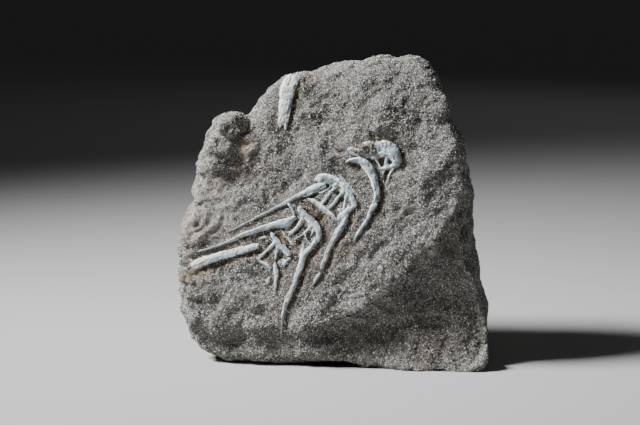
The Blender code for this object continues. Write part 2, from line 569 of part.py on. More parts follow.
for bone, grown in placed:
    budget = BONES[bone.name][0]
    pocket = grown_copy(bone, bone.name + "_pocket", POCKET_GAP, BONE_VOXEL)
    decimate(bone, budget)
    decimate(pocket, max(24, budget * POCKET_SHARE))
    cut(rock, pocket)
    bpy.data.objects.remove(pocket, do_unlink=True)
    bpy.data.objects.remove(grown, do_unlink=True)

    ivory = bpy.data.materials.new(bone.name + "_bone")
    ivory.use_nodes = True
    ivory.node_tree.nodes["Principled BSDF"].inputs["Base Color"].default_value = (0.72, 0.70, 0.64, 1)
    ivory.node_tree.nodes["Principled BSDF"].inputs["Roughness"].default_value = 0.55
    ivory.node_tree.nodes["Principled BSDF"].inputs["Metallic"].default_value = 0.0
    bone.data.materials.clear()
    bone.data.materials.append(ivory)
keep_largest(rock)

# Stand the block with the middle of its box over the origin.
for axis in range(2):
    values = [v.co[axis] for v in rock.data.vertices]
    shift = Vector((0, 0, 0))
    shift[axis] = -0.5 * (min(values) + max(values))
    for obj in bpy.data.objects:
        obj.data.transform(Matrix.Translation(shift))
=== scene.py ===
"""Looks of a sandstone block with the vertebrae and spines of a fish weathering out of its face.

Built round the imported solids, in metres, with +Z up. Bone control points are in millimetres,
(x, z) as seen from straight in front of the block, and a width.
"""
import math

import bpy
from mathutils import Matrix, Vector, noise
from mathutils.bvhtree import BVHTree
from mathutils.kdtree import KDTree


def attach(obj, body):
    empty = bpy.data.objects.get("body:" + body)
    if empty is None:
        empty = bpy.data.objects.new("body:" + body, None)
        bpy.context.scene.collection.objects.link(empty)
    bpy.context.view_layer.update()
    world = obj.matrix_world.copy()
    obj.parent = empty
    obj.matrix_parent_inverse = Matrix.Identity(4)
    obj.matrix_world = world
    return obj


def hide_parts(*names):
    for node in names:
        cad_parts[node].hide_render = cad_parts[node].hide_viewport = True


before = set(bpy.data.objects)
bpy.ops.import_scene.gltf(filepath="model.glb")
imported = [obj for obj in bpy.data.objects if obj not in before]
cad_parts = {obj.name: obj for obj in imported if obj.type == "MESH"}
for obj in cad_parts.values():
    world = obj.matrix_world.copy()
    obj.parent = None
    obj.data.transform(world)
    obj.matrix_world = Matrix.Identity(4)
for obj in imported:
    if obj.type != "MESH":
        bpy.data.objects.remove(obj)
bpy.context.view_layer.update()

MM = 0.001

# ==========================================================================================
# Camera: a portrait lens from a little to the right of the fossil face and above it.
# ==========================================================================================
LENS = 85                                     # on a 36 mm wide sensor
CAMERA_TARGET = Vector((-8.1, -3.7, 61.7)) * MM
CAMERA_DISTANCE = 655 * MM
CAMERA_AZIMUTH = math.radians(9)
CAMERA_ELEVATION = math.radians(10)

to_camera = Vector((math.sin(CAMERA_AZIMUTH) * math.cos(CAMERA_ELEVATION),
                    -math.cos(CAMERA_AZIMUTH) * math.cos(CAMERA_ELEVATION),
                    math.sin(CAMERA_ELEVATION)))
bpy.ops.object.camera_add(location=CAMERA_TARGET + to_camera * CAMERA_DISTANCE,
                          rotation=(-to_camera).to_track_quat("-Z", "Y").to_euler())
camera = bpy.context.object
camera.data.lens = LENS
camera.data.clip_start = 0.05
bpy.context.scene.camera = camera

# ==========================================================================================
# Floor and light: a pale matt table and two soft lamps. The main lamp stands high on the left
# and rakes across the fossil face, the other one is a weak fill from behind.
# ==========================================================================================
FLOOR_WIDTH = 30.0                            # m, so that its far edge stays out of view
FLOOR_COLOUR = (0.40, 0.395, 0.385, 1)
FLOOR_ROUGHNESS = 0.85
LAMPS = [
    # name, place and size in m, power in W, colour, spread of the beam in degrees
    ("window, upper left", (-0.80, -0.24, 0.88), 0.30, 4.2, (0.962, 0.99, 1.0), 50),
    ("fill, behind", (0.3, 0.9, 0.7), 0.9, 0.5, (1.0, 1.0, 1.0), 180),
]
ROOM_COLOUR = (0.86, 0.88, 0.9, 1)
ROOM_STRENGTH = 0.03

bpy.ops.mesh.primitive_plane_add(size=FLOOR_WIDTH, location=(0, 0, 0))
floor = bpy.context.object
floor.name = "floor"
floor_paint = bpy.data.materials.new("pale table")
floor_paint.use_nodes = True
floor_shader = floor_paint.node_tree.nodes["Principled BSDF"]
floor_shader.inputs["Base Color"].default_value = FLOOR_COLOUR
floor_shader.inputs["Roughness"].default_value = FLOOR_ROUGHNESS
floor.data.materials.append(floor_paint)

for name, place, size, power, colour, spread in LAMPS:
    facing = (CAMERA_TARGET - Vector(place)).to_track_quat("-Z", "Y").to_euler()
    bpy.ops.object.light_add(type="AREA", location=place, rotation=facing)
    lamp = bpy.context.object
    lamp.name = name
    lamp.data.size = size
    lamp.data.energy = power
    lamp.data.color = colour
    lamp.data.spread = math.radians(spread)

room = bpy.data.worlds.new("studio")
bpy.context.scene.world = room
room.use_nodes = True
room.node_tree.nodes["Background"].inputs["Color"].default_value = ROOM_COLOUR
room.node_tree.nodes["Background"].inputs["Strength"].default_value = ROOM_STRENGTH

# ==========================================================================================
# Sandstone block. One piece of coarse grey sandstone, broken on every side and never sawn,
# standing on its worn foot. The solid's rough form is evened over the bone pockets, remeshed
# finely and broken up by relief of several sizes.
# ==========================================================================================
BED_CELL = 2.4 * MM               # cell and evening passes of the ground that the bones lie on
BED_PASSES = 10
ROUGH_CELL = 1.0 * MM             # cell and evening passes of the rock before it is broken up
ROUGH_PASSES = 3
ROCK_CELL = 0.8 * MM              # cell of the finished rock surface
BONE_ZONE = (1.2 * MM, 5.0 * MM)  # the rock follows the bed up to here, and its own form from there
HELD_BACK = 0.75                  # share of the broad relief that is held back beside the bones
KNOB = (-46, 92)                  # middle (x, z) of the craggy knob at the upper left, in mm
CRAGGY_EDGE = -68                 # x of the left edge in mm, which is craggy too
CRAGGY_REACH = (8, 15)            # mm from them: craggy up to here, smooth from here
ROCK_RELIEF = [
    # texture, size and depth in mm, vertex group that it acts on, settings of the texture
    ("VORONOI", 4.5, 1.6, "crags", {}),
    ("CLOUDS", 7, -3.0, "crags", {"noise_depth": 1, "noise_type": "HARD_NOISE"}),
    ("CLOUDS", 13, 3.6, "open rock", {"noise_depth": 1}),
    ("CLOUDS", 5, -1.6, "open rock", {"noise_depth": 2, "noise_type": "HARD_NOISE"}),
    ("CLOUDS", 1.4, 0.3, "", {"noise_depth": 1}),
]

LEDGE = [(50.3, 65.3), (44.4, 54.3), (34.6, 48.3), (30.7, 39.3), (23.9, 32.2), (9.0, 24.0),
         (-3.5, 19.5)]            # brow of the step that crosses the face, (x, z) in mm
LEDGE_CUT = 3.8 * MM              # how far the rock is broken back under the brow
LEDGE_REACH = (-0.4, 1.4, 11.0)   # mm under the brow: break starts, is deepest, has run out
LEDGE_WANDER = (3.5, 1.4)         # size and width in mm of the wander of the brow

PIT_DEPTH = 1.1 * MM
PIT_SLOPE = (0.35, 1.25)          # shares of its radius: fully deep up to there, run out from there
PITS = [
    # dug out between the struts: middle (x, z) and radius in mm
    (20.1, 85.7, 1.9), (24.1, 86.2, 0.8), (22.8, 82.1, 1.5), (22.0, 79.7, 1.3),
    (-1.5, 75.0, 1.1), (2.4, 73.3, 1.4), (3.7, 70.6, 1.4), (6.5, 70.3, 1.2), (0.4, 68.9, 1.3),
    (-7.8, 72.4, 1.4), (-15.0, 57.8, 1.5), (-10.2, 57.2, 1.3), (-8.9, 55.2, 1.0), (-13.4, 52.2, 1.4),
    (-26.3, 51.4, 1.2), (-27.4, 47.2, 1.5), (-23.8, 44.1, 1.0), (-21.0, 46.6, 1.2),
]

LUMP_HEIGHT = 1.2 * MM            # of the highest lump
LUMP_SLOPE = (0.3, 1.2)           # like a pit's
LUMP_EDGE = (2.8, 3.5)            # how ragged a lump's edge is, and the size of its notches, in mm
LUMPS = [
    # on the left side: middle (x, z), radius and height in mm
    (-50.5, 101.5, 3.6, 1.2), (-45.0, 96.0, 3.2, 0.9), (-57.5, 80.5, 4.0, 0.9),
    (-60.5, 71.5, 5.0, 1.1), (-62.0, 60.0, 4.0, 0.9), (-56.0, 33.0, 6.0, 1.0),
]

SAND_CAKE_HEIGHT = 1.7 * MM
SAND_CAKE_SLOPE = (0.7, 1.05)     # like a pit's
SAND_CAKE_EDGE = (0.5, 1.1)       # how ragged its edge is, as a share, and its notches' size in mm
SAND_CAKES = [
    # sand left on the first vertebra: middle (x, z), half-width and half-height in mm
    (13.3, 91.9, 3.3, 1.8), (10.6, 90.5, 2.8, 0.9), (15.8, 90.4, 1.7, 0.8), (15.4, 93.4, 1.2, 1.0),
]
FOOT_LEVEL = 0.02 * MM            # the rock ends level here, just over the floor


def select_only(*objects):
    """Selects just these objects and makes the first the active one."""
    bpy.ops.object.select_all(action="DESELECT")
    for thing in objects:
        thing.select_set(True)
    bpy.context.view_layer.objects.active = objects[0]


def copy_of(source, name):
    """A copy of an object with a mesh of its own, its loose triangles merged."""
    select_only(source)
    bpy.ops.object.duplicate(linked=False)
    copy = bpy.context.object
    copy.name = name
    bpy.ops.object.mode_set(mode="EDIT")
    bpy.ops.mesh.select_all(action="SELECT")
    bpy.ops.mesh.remove_doubles(threshold=0.001 * MM)
    bpy.ops.object.mode_set(mode="OBJECT")
    return copy


def finish_with(piece, kind, **settings):
    """Adds a modifier with these settings and applies it."""
    select_only(piece)
    modifier = piece.modifiers.new(kind.lower(), kind)
    for key, value in settings.items():
        setattr(modifier, key, value)
    bpy.ops.object.modifier_apply(modifier=modifier.name)


def remesh(piece, cell):
    finish_with(piece, "REMESH", mode="VOXEL", voxel_size=cell)


def even_out(piece, passes):
    finish_with(piece, "SMOOTH", factor=0.5, iterations=passes)


def relief(piece, kind, size, depth, group="", **settings):
    """Pushes the surface in and out by a procedural texture whose features are about size wide."""
    texture = bpy.data.textures.new(kind.lower(), kind)
    texture.noise_scale = size
    for key, value in settings.items():
        setattr(texture, key, value)
    finish_with(piece, "DISPLACE", texture=texture, texture_coords="LOCAL", strength=depth,
                mid_level=0.5, vertex_group=group)


def paint_group(piece, name, weight_at):
    """Makes a vertex group whose weight at each vertex comes from weight_at(place)."""
    group = piece.vertex_groups.new(name=name)
    for vertex in piece.data.vertices:
        weight = weight_at(vertex.co)
        if weight > 0:
            group.add([vertex.index], weight, "REPLACE")


def raise_surface(piece, name, height, weight_at):
    """Raises the surface by height times weight_at(place), or sinks it by a negative height."""
    paint_group(piece, name, weight_at)
    finish_with(piece, "DISPLACE", strength=height, mid_level=0, vertex_group=name)


def paint_attribute(piece, name, value_at):
    """Stores value_at(place) of each vertex as a float attribute for the material."""
    layer = piece.data.attributes.new(name, "FLOAT", "POINT")
    layer.data.foreach_set("value", [value_at(vertex.co) for vertex in piece.data.vertices])


def ramp_down(distance, near, far):
    """1 up to near, 0 from far, with a smooth step between."""
    share = min(1.0, max(0.0, (distance - near) / (far - near)))
    return 1 - share * share * (3 - 2 * share)


rock_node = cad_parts["rock_matrix"]
bone_nodes = [node for name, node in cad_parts.items() if name != "rock_matrix"]

bone_corners = []
bone_faces = []
for node in bone_nodes:
    first = len(bone_corners)
    bone_corners += [vertex.co.copy() for vertex in node.data.vertices]
    bone_faces += [[first + corner for corner in face.vertices] for face in node.data.polygons]
all_bones = BVHTree.FromPolygons(bone_corners, bone_faces)


def bone_distance(place):
    return all_bones.find_nearest(place)[3]


def face_distance(place, x, z):
    """How far a place lies from (x, z), in mm, as seen from straight in front."""
    return math.hypot(place.x / MM - x, place.z / MM - z)


def in_bone_zone(place):
    """1 beside the bones, 0 where the rock has its own form."""
    return ramp_down(bone_distance(place), *BONE_ZONE)


def on_crags(place):
    """1 on the knob and the left edge, 0 away from them and on the back."""
    if place.y > 0:
        return 0
    return ramp_down(min(face_distance(place, *KNOB), place.x / MM - CRAGGY_EDGE), *CRAGGY_REACH)


bed = copy_of(rock_node, "bed")
remesh(bed, BED_CELL)
even_out(bed, BED_PASSES)

sandstone = copy_of(rock_node, "sandstone_block")
remesh(sandstone, ROUGH_CELL)
paint_group(sandstone, "bone zone", in_bone_zone)
finish_with(sandstone, "SHRINKWRAP", target=bed, wrap_method="NEAREST_SURFACEPOINT",
            vertex_group="bone zone")
even_out(sandstone, ROUGH_PASSES)
remesh(sandstone, ROCK_CELL)
paint_group(sandstone, "open rock", lambda place: 1 - HELD_BACK * in_bone_zone(place))
paint_group(sandstone, "crags", on_crags)
for kind, size, depth, group, settings in ROCK_RELIEF:
    relief(sandstone, kind, size * MM, depth * MM, group, **settings)


def under_ledge(place):
    """How deep the rock is broken back at a place, 0 to 1, by its distance under the brow."""
    if place.y > 0:
        return 0
    size, width = LEDGE_WANDER
    here = Vector((place.x, place.z)) / MM
    here.y += width * noise.noise(Vector((here.x, here.y, 0)) / size)
    gaps = []
    for brow, onward in zip(LEDGE, LEDGE[1:]):
        run = Vector(onward) - Vector(brow)
        share = min(1, max(0, (here - Vector(brow)).dot(run) / run.length_squared))
        gap = here - Vector(brow) - share * run
        gaps.append((gap.length, run.cross(gap)))
    distance, side = min(gaps)
    start, deepest, end = LEDGE_REACH
    if side < 0:
        return 0
    return ramp_down(distance, deepest, end) * (1 - ramp_down(distance, start, deepest))


def in_pit(place):
    """1 in the middle of a dug out pit, 0 outside all of them."""
    if place.y > 0:
        return 0
    full, none = PIT_SLOPE
    return max(ramp_down(face_distance(place, x, z), full * radius, none * radius)
               for x, z, radius in PITS)


def on_lump(place):
    """How high a place lies on a lump, 0 to 1."""
    if place.y > 0:
        return 0
    full, none = LUMP_SLOPE
    ragged, notch = LUMP_EDGE
    wander = ragged * noise.noise(place / (notch * MM))
    return max(height * MM / LUMP_HEIGHT
               * ramp_down(face_distance(place, x, z) + wander, full * radius, none * radius)
               for x, z, radius, height in LUMPS)


def on_sand_cake(place):
    """1 on the sand that was left on the first vertebra, 0 beyond its ragged edge."""
    if place.y > 0:
        return 0
    ragged, notch = SAND_CAKE_EDGE
    wander = ragged * noise.noise(place / (notch * MM))
    return max(ramp_down(math.hypot((place.x / MM - x) / half_width, (place.z / MM - z) / half_height)
                         + wander, *SAND_CAKE_SLOPE)
               for x, z, half_width, half_height in SAND_CAKES)


raise_surface(sandstone, "under the ledge", -LEDGE_CUT, under_ledge)
raise_surface(sandstone, "pits", -PIT_DEPTH, in_pit)
raise_surface(sandstone, "lumps", LUMP_HEIGHT, on_lump)
raise_surface(sandstone, "sand cakes", SAND_CAKE_HEIGHT, on_sand_cake)

select_only(sandstone)
bpy.ops.object.mode_set(mode="EDIT")
bpy.ops.mesh.select_all(action="SELECT")
bpy.ops.mesh.bisect(plane_co=(0, 0, FOOT_LEVEL), plane_no=(0, 0, 1), clear_inner=True,
                    use_fill=True)
bpy.ops.object.mode_set(mode="OBJECT")
bpy.ops.object.shade_smooth()


class Wire:
    """An output socket of a node tree. Arithmetic on it adds the Math nodes that work it out."""

    def __init__(self, tree, socket=None):
        self.tree = tree
        self.socket = socket

    def node(self, kind, settings=None, sockets=None, output=0):
        """Adds a node, sets it up, fills its inputs with values or wires, returns one output."""
        made = self.tree.nodes.new(kind)
        for key, value in (settings or {}).items():
            if key == "stops":
                ramp = made.color_ramp
                while len(ramp.elements) < len(value):
                    ramp.elements.new(0.5)
                for element, (position, colour) in zip(ramp.elements, value):
                    element.position = position
                    element.color = (*colour, 1)
            else:
                setattr(made, key, value)
        for key, value in (sockets or {}).items():
            if isinstance(value, Wire):
                self.tree.links.new(value.socket, made.inputs[key])
            else:
                made.inputs[key].default_value = value
        return Wire(self.tree, made.outputs[output])

    def maths(self, operation, first, second=0.0):
        return self.node("ShaderNodeMath", {"operation": operation}, {0: first, 1: second})

    def __add__(self, other):
        return self.maths("ADD", self, other)

    __radd__ = __add__

    def __sub__(self, other):
        return self.maths("SUBTRACT", self, other)

    def __rsub__(self, other):
        return self.maths("SUBTRACT", other, self)

    def __mul__(self, other):
        return self.maths("MULTIPLY", self, other)

    __rmul__ = __mul__

    def __truediv__(self, other):
        return self.maths("DIVIDE", self, other)

    def step(self, start, end):
        """0 at start, 1 at end, smooth between."""
        return self.node("ShaderNodeMapRange", {"interpolation_type": "SMOOTHSTEP"},
                         {"Value": self, "From Min": start, "From Max": end})

    def ramp(self, stops):
        """The colour at this share of a row of stops (position, colour)."""
        return self.node("ShaderNodeValToRGB", {"stops": stops}, {"Fac": self})

    def tint(self, amount, colour, blend="MIX"):
        """This colour with another mixed in by amount."""
        return self.node("ShaderNodeMix", {"data_type": "RGBA", "blend_type": blend},
                         {0: amount, 6: self, 7: colour if isinstance(colour, Wire) else (*colour, 1)},
                         output=2)

    def noise(self, size, detail=2.0, roughness=0.5, distortion=0.0):
        """Soft noise on this place, with features about size metres wide, 0 to 1."""
        return self.node("ShaderNodeTexNoise", {},
                         {"Vector": self, "Scale": 1 / size, "Detail": detail,
                          "Roughness": roughness, "Distortion": distortion})

    def near(self, centre, radius):
        """1 up to a quarter of radius mm from a centre in mm, 0 from radius mm away."""
        gap = self.node("ShaderNodeVectorMath", {"operation": "DISTANCE"},
                        {0: self, 1: Vector(centre) * MM}, output="Value")
        return 1 - gap.step(0.25 * radius * MM, radius * MM)

    def attribute(self, name):
        """The float that the piece's mesh carries under this name."""
        return self.node("ShaderNodeAttribute", {"attribute_name": name}, output="Fac")


def new_finish(name):
    """A Principled material: the material, a wire to start from, its place and its shader."""
    finish = bpy.data.materials.new(name)
    finish.use_nodes = True
    start = Wire(finish.node_tree)
    place = start.node("ShaderNodeTexCoord", output="Object")
    return finish, start, place, finish.node_tree.nodes["Principled BSDF"]


def dress(piece, finish):
    piece.data.materials.clear()
    piece.data.materials.append(finish)


# Cement between the grains, dark brown-grey. Its broad brown patches, its rust, ochre, pale lime and
# dark stains, its patches of painted light and painted shade, its darkening towards the foot and the
# brown stain and painted shade beside the bones colour the grains as well.
CEMENT_TONES = [(0.0, (0.080, 0.074, 0.067)), (0.4, (0.145, 0.132, 0.118)),
                (0.7, (0.215, 0.202, 0.184)), (1.0, (0.330, 0.320, 0.303))]
CEMENT_ROUGHNESS = 0.9
BROAD_PATCH = 30 * MM
BROAD_BROWN = (0.40, 0.33, 0.26)
FOOT_DARKENING = (0.40, 0.37, 0.34)
DARKER_FOOT = (6 * MM, 24 * MM)     # the rock is darker up to here, and keeps its own tone from there
TINGE = 0.35                      # strength of the broad patches and of the darkening towards the foot
BONE_BROWN_AND_SHADE = (0.52, 0.40, 0.27)   # what the brown stain and the painted shade beside the bones let through
ROCK_STAINS_LIGHT_AND_SHADE = [
    # centre (x, y, z) mm, radius mm, colour, strength
    ((-38.0, -15.0, 90.5), 5.5, (0.62, 0.45, 0.36), 0.55),
    ((-42.0, -17.0, 81.0), 3.2, (0.36, 0.25, 0.16), 0.50),
    ((-50.0, -18.0, 77.0), 6.0, (0.42, 0.33, 0.25), 0.30),
    ((-61.0, -26.0, 58.0), 12.0, (0.42, 0.32, 0.22), 0.40),
    ((47.5, -8.0, 92.0), 5.5, (0.46, 0.34, 0.13), 0.65),
    ((38.5, -14.0, 68.0), 4.0, (0.80, 0.78, 0.72), 0.60),
    ((27.0, -6.0, 105.5), 3.0, (0.80, 0.78, 0.74), 0.60),
    ((41.0, -18.0, 50.0), 4.0, (0.66, 0.68, 0.55), 0.55),
    ((12.0, -29.0, 27.0), 5.0, (0.55, 0.60, 0.66), 0.28),
    # painted light: the left side, which faces the lamp, is painted lighter
    ((-58.0, -22.0, 70.0), 18.0, (0.60, 0.57, 0.52), 0.38),
    ((-48.0, -22.0, 60.0), 18.0, (0.60, 0.57, 0.52), 0.38),
    ((-56.0, -25.0, 36.0), 14.0, (0.56, 0.54, 0.50), 0.34),
    ((3.0, -14.0, 91.0), 8.0, (0.62, 0.61, 0.59), 0.30),
    ((-9.0, -18.0, 81.0), 7.5, (0.62, 0.61, 0.59), 0.30),
    ((-20.0, -20.0, 70.0), 7.0, (0.62, 0.61, 0.59), 0.25),
    # painted light: the knob's face, which lies in its own shade, is painted lighter
    ((-48.0, -12.0, 98.0), 9.0, (0.66, 0.67, 0.67), 0.38),
    ((-55.0, -15.0, 86.0), 9.0, (0.60, 0.58, 0.53), 0.32),
    ((14.0, -14.0, 84.0), 9.0, (0.52, 0.51, 0.49), 0.40),
    # painted light: lifts the shade that the relief casts above the cap
    ((22.0, -12.0, 98.5), 6.0, (0.60, 0.59, 0.57), 0.50),
    ((12.5, -14.0, 91.5), 4.5, (0.62, 0.58, 0.50), 0.50),
    ((26.0, -16.0, 80.5), 5.0, (0.62, 0.66, 0.68), 0.45),
    ((31.0, -13.0, 94.0), 2.4, (0.09, 0.12, 0.16), 0.70),
    # painted shade: dark patches to the right of the two haemal spines, on their side away from the
    # lamp
    ((2.5, -25.0, 50.0), 7.5, (0.09, 0.075, 0.058), 0.45),
    ((-11.5, -28.0, 38.0), 6.5, (0.09, 0.075, 0.058), 0.45),
    ((-5.0, -26.0, 41.0), 6.0, (0.09, 0.075, 0.058), 0.40),
    ((-57.0, -24.0, 42.0), 3.5, (0.74, 0.74, 0.71), 0.70),
]
STAIN_NOTCH = 2.2 * MM            # size of the gaps in a stain


def with_stains_light_and_shade(colour, place, stains, fade):
    """A colour with the patches of a list: stains, and on the rock also patches of painted light and
    painted shade. A noise, which lets none through at the first level of fade and all at the second,
    makes them ragged."""
    for centre, radius, hue, strength in stains:
        ragged = place.near(centre, radius) * place.noise(STAIN_NOTCH, 3.0).step(*fade)
        colour = colour.tint(strength * ragged, hue)
    return colour


def weather_with_painted_light(colour, place, soak=1.0):
    """A rock colour with its broad patches, its stains and patches of painted light and shade, its
    darkening towards the foot, and the brown stain and painted shade beside the bones, which it takes
    on by its share soak."""
    broad = TINGE * place.noise(BROAD_PATCH, 2.0).step(0.45, 0.7)
    colour = colour.tint(broad, BROAD_BROWN, "SOFT_LIGHT")
    # the rock's stains, and its patches of painted light and painted shade
    colour = with_stains_light_and_shade(colour, place, ROCK_STAINS_LIGHT_AND_SHADE, (0.30, 0.62))
    # brown beside the bones: a real stain near them, and painted shade in the channels and pits
    brown_and_shade = soak * place.attribute("stain") * place.noise(1.8 * MM, 2.0).step(0.2, 0.55)
    colour = colour.tint(brown_and_shade, BONE_BROWN_AND_SHADE, "MULTIPLY")
    height = place.node("ShaderNodeSeparateXYZ", {}, {0: place}, output="Z")
    # darker towards the bottom
    return colour.tint(TINGE * (1 - height.step(*DARKER_FOOT)), FOOT_DARKENING, "MULTIPLY")


cement, start, place, cement_shader = new_finish("sandstone cement")
colour = weather_with_painted_light(place.noise(0.5 * MM, 3.0, 0.7).step(0.3, 0.72).ramp(CEMENT_TONES), place)
bump = start.node("ShaderNodeBump", {}, {"Strength": 0.8, "Distance": 0.15 * MM,
                                         "Height": place.noise(0.3 * MM, 3.0)})
cement.node_tree.links.new(colour.socket, cement_shader.inputs["Base Color"])
cement.node_tree.links.new(bump.socket, cement_shader.inputs["Normal"])
cement_shader.inputs["Roughness"].default_value = CEMENT_ROUGHNESS
cement_shader.inputs["Specular IOR Level"].default_value = 0.3
dress(sandstone, cement)
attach(sandstone, "root")
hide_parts("rock_matrix")

# ==========================================================================================
# First vertebra, upper right: a thick cap of fossil bone over its right end, thin plates to
# the left, struts below. Like every bone it was freed from the sand by hand. Each is laid on
# the bed as curved rods of oval section, fused by a fine remesh and then smoothed.
# ==========================================================================================
FACE_AT_FOOT = -37.7                    # y of the leaning face at the foot, in mm
FACE_LEAN = 0.25                        # how far it goes back for each unit of height
FACE_TILT = math.atan2(1.0, FACE_LEAN)  # turns a flat drawing up onto the leaning face
BONE_CELL = 0.19 * MM                   # cell and evening passes of a fused bone
BONE_PASSES = 3
CREST_FROM = 1.7                        # rods at least this wide (mm) carry a crest on their upper side
CREST_SHIFT = 0.24                      # its shift, width and extra lift, as shares of the rod's width
CREST_WIDTH = 0.46
CREST_LIFT = 0.20
UPPER_LEFT = Vector((-0.8, 0.6))        # (x, z), towards the light
TRACE_STEP = 0.3                        # mm between two places along a rod
NEAR_PLACES = 6                         # how many of them a place on the bone is compared with
WIDE_NEARER = 0.6                       # they count as nearer by this share of their half-width
FIBRE_LENGTH = 5.0                      # mm
FIBRE_WIDTH = 0.42                      # mm
FIBRE_DEPTH = 0.30 * MM
BONE_RELIEF = [(2.2, 0.55), (0.8, 0.27)]  # size and depth in mm of its bumps

bed_tree = BVHTree.FromObject(bed, bpy.context.evaluated_depsgraph_get())


def oval_section(name, crest, keel):
    """The cross-section of a bone of half-width 1: how far it rises and how far it goes down."""
    bpy.ops.curve.primitive_bezier_circle_add(radius=MM)
    oval = bpy.context.object
    oval.name = name
    oval.hide_render = True
    oval.data.resolution_u = 4
    for knot in oval.data.splines[0].bezier_points:
        knot.co.y *= crest if knot.co.y > 0 else keel
        knot.handle_left_type = knot.handle_right_type = "AUTO"
    return oval


ROUND = oval_section("round bone section", 0.80, 0.5)
FLAT = oval_section("flat bone section", 0.34, 0.4)


def bed_point(x, z, lift):
    """The place on the bed straight behind (x, z), lifted off it by lift mm."""
    hit, normal, _, _ = bed_tree.ray_cast(Vector((x * MM, -0.2, z * MM)), Vector((0, 1, 0)))
    if hit is None:
        on_face = Vector((x, FACE_AT_FOOT + FACE_LEAN * z, z)) * MM
        hit, normal, _, _ = bed_tree.find_nearest(on_face)
    return hit + normal * lift * MM


def bed_height(place):
    """How far a place is off the bed, in mm."""
    ground, normal, _, _ = bed_tree.find_nearest(place)
    return (place - ground).dot(normal) / MM


def to_upper_left(run):
    """The direction across a run in (x, z) that points to the upper left."""
    across = Vector((-run.y, run.x)).normalized()
    return -across if across.dot(UPPER_LEFT) < 0 else across


def lay_rod(section, lift, points):
    """One rod of bone along points (x, z, width) in mm, its middle lift mm above the bed."""
    bpy.ops.curve.primitive_bezier_curve_add(rotation=(FACE_TILT, 0, 0))
    rod = bpy.context.object
    rod.data.dimensions = "3D"
    rod.data.twist_mode = "Z_UP"
    rod.data.bevel_mode = "OBJECT"
    rod.data.bevel_object = section
    rod.data.use_fill_caps = True
    rod.data.resolution_u = 5
    spline = rod.data.splines[0]
    spline.bezier_points.add(len(points) - 2)
    to_rod = Matrix.Rotation(-FACE_TILT, 3, "X")
    for knot, (x, z, width) in zip(spline.bezier_points, points):
        knot.co = to_rod @ bed_point(x, z, lift)
        knot.radius = width / 2
        knot.handle_left_type = knot.handle_right_type = "AUTO"
    return rod


def crest_points(points):
    """The points of the crest that runs along the upper left side of a rod."""
    crest = []
    for before, (x, z, width), after in zip(points[:1] + points, points, points[1:] + points[-1:]):
        across = to_upper_left(Vector((after[0] - before[0], after[1] - before[1])))
        crest.append((x + across.x * CREST_SHIFT * width, z + across.y * CREST_SHIFT * width,
                      CREST_WIDTH * width))
    return crest


def trace(rods):
    """Places along the rods: each one's distance along, direction across and half-width, and a
    tree that finds them by (x, z) in mm."""
    samples = []
    spots = []
    for _, _, points in rods:
        along = 0
        for (x, z, width), (next_x, next_z, next_width) in zip(points, points[1:]):
            run = Vector((next_x - x, next_z - z))
            across = to_upper_left(run)
            steps = max(1, round(run.length / TRACE_STEP))
            for step in range(steps):
                share = step / steps
                spots.append((x + share * run.x, z + share * run.y, 0))
                samples.append((along + share * run.length, across,
                                (width + share * (next_width - width)) / 2))
            along += run.length
    tree = KDTree(len(spots))
    for index, spot in enumerate(spots):
        tree.insert(spot, index)
    tree.balance()
    return samples, tree


def on_bone(samples, tree, place):
    """Where a place lies on its rod: mm along, mm across to the upper left, and the half-width."""
    here = Vector((place.x, place.z, 0)) / MM
    spot, index, _ = min(tree.find_n(here, NEAR_PLACES),
                         key=lambda found: found[2] - WIDE_NEARER * samples[found[1]][2])
    along, across, half = samples[index]
    return along, (here - spot).xy.dot(across), half


traces = []                             # of every bone, for the channels beside them


def build_bone(name, rods, pale=1.0, slim=1.0, shift=0.0):
    """Lays the rods (section, lift, points), slim times as wide and shifted to the upper left by
    shift mm, fuses them to one bone, wears its surface along its fibres and marks how pale it is."""
    rods = [(section, lift, [(x + shift * UPPER_LEFT.x, z + shift * UPPER_LEFT.y, slim * width)
                             for x, z, width in points]) for section, lift, points in rods]
    laid = [lay_rod(*rod) for rod in rods]
    for section, lift, points in rods:
        widest = max(width for _, _, width in points)
        if section is ROUND and widest >= CREST_FROM:
            laid.append(lay_rod(ROUND, lift + CREST_LIFT * widest, crest_points(points)))
    select_only(*laid)
    bpy.ops.object.convert(target="MESH")
    if len(laid) > 1:
        bpy.ops.object.join()
    bpy.ops.object.transform_apply(location=True, rotation=True, scale=True)
    bone = bpy.context.object
    bone.name = name + "_bone"
    remesh(bone, BONE_CELL)
    even_out(bone, BONE_PASSES)
    samples, tree = trace(rods)
    traces.append((samples, tree))
    where = [on_bone(samples, tree, vertex.co) for vertex in bone.data.vertices]
    fibres = bone.vertex_groups.new(name="fibres")
    for index, (along, across, half) in enumerate(where):
        worn = noise.noise(Vector((along / FIBRE_LENGTH, across / FIBRE_WIDTH, half)))
        fibres.add([index], 0.5 + 0.5 * worn, "REPLACE")
    finish_with(bone, "DISPLACE", strength=-FIBRE_DEPTH, mid_level=0, vertex_group="fibres")
    for label, values in (("along", [along for along, _, _ in where]),
                          ("across", [across for _, across, _ in where]),
                          ("side", [across / half for _, across, half in where])):
        bone.data.attributes.new(label, "FLOAT", "POINT").data.foreach_set("value", values)
    paint_attribute(bone, "pale", lambda place: pale)
    for size, depth in BONE_RELIEF:
        relief(bone, "CLOUDS", size * MM, depth * MM, noise_depth=1)
    bpy.ops.object.shade_smooth()
    paint_attribute(bone, "height", bed_height)
    dress(bone, fossil_bone)
    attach(bone, "root")
    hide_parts(name)
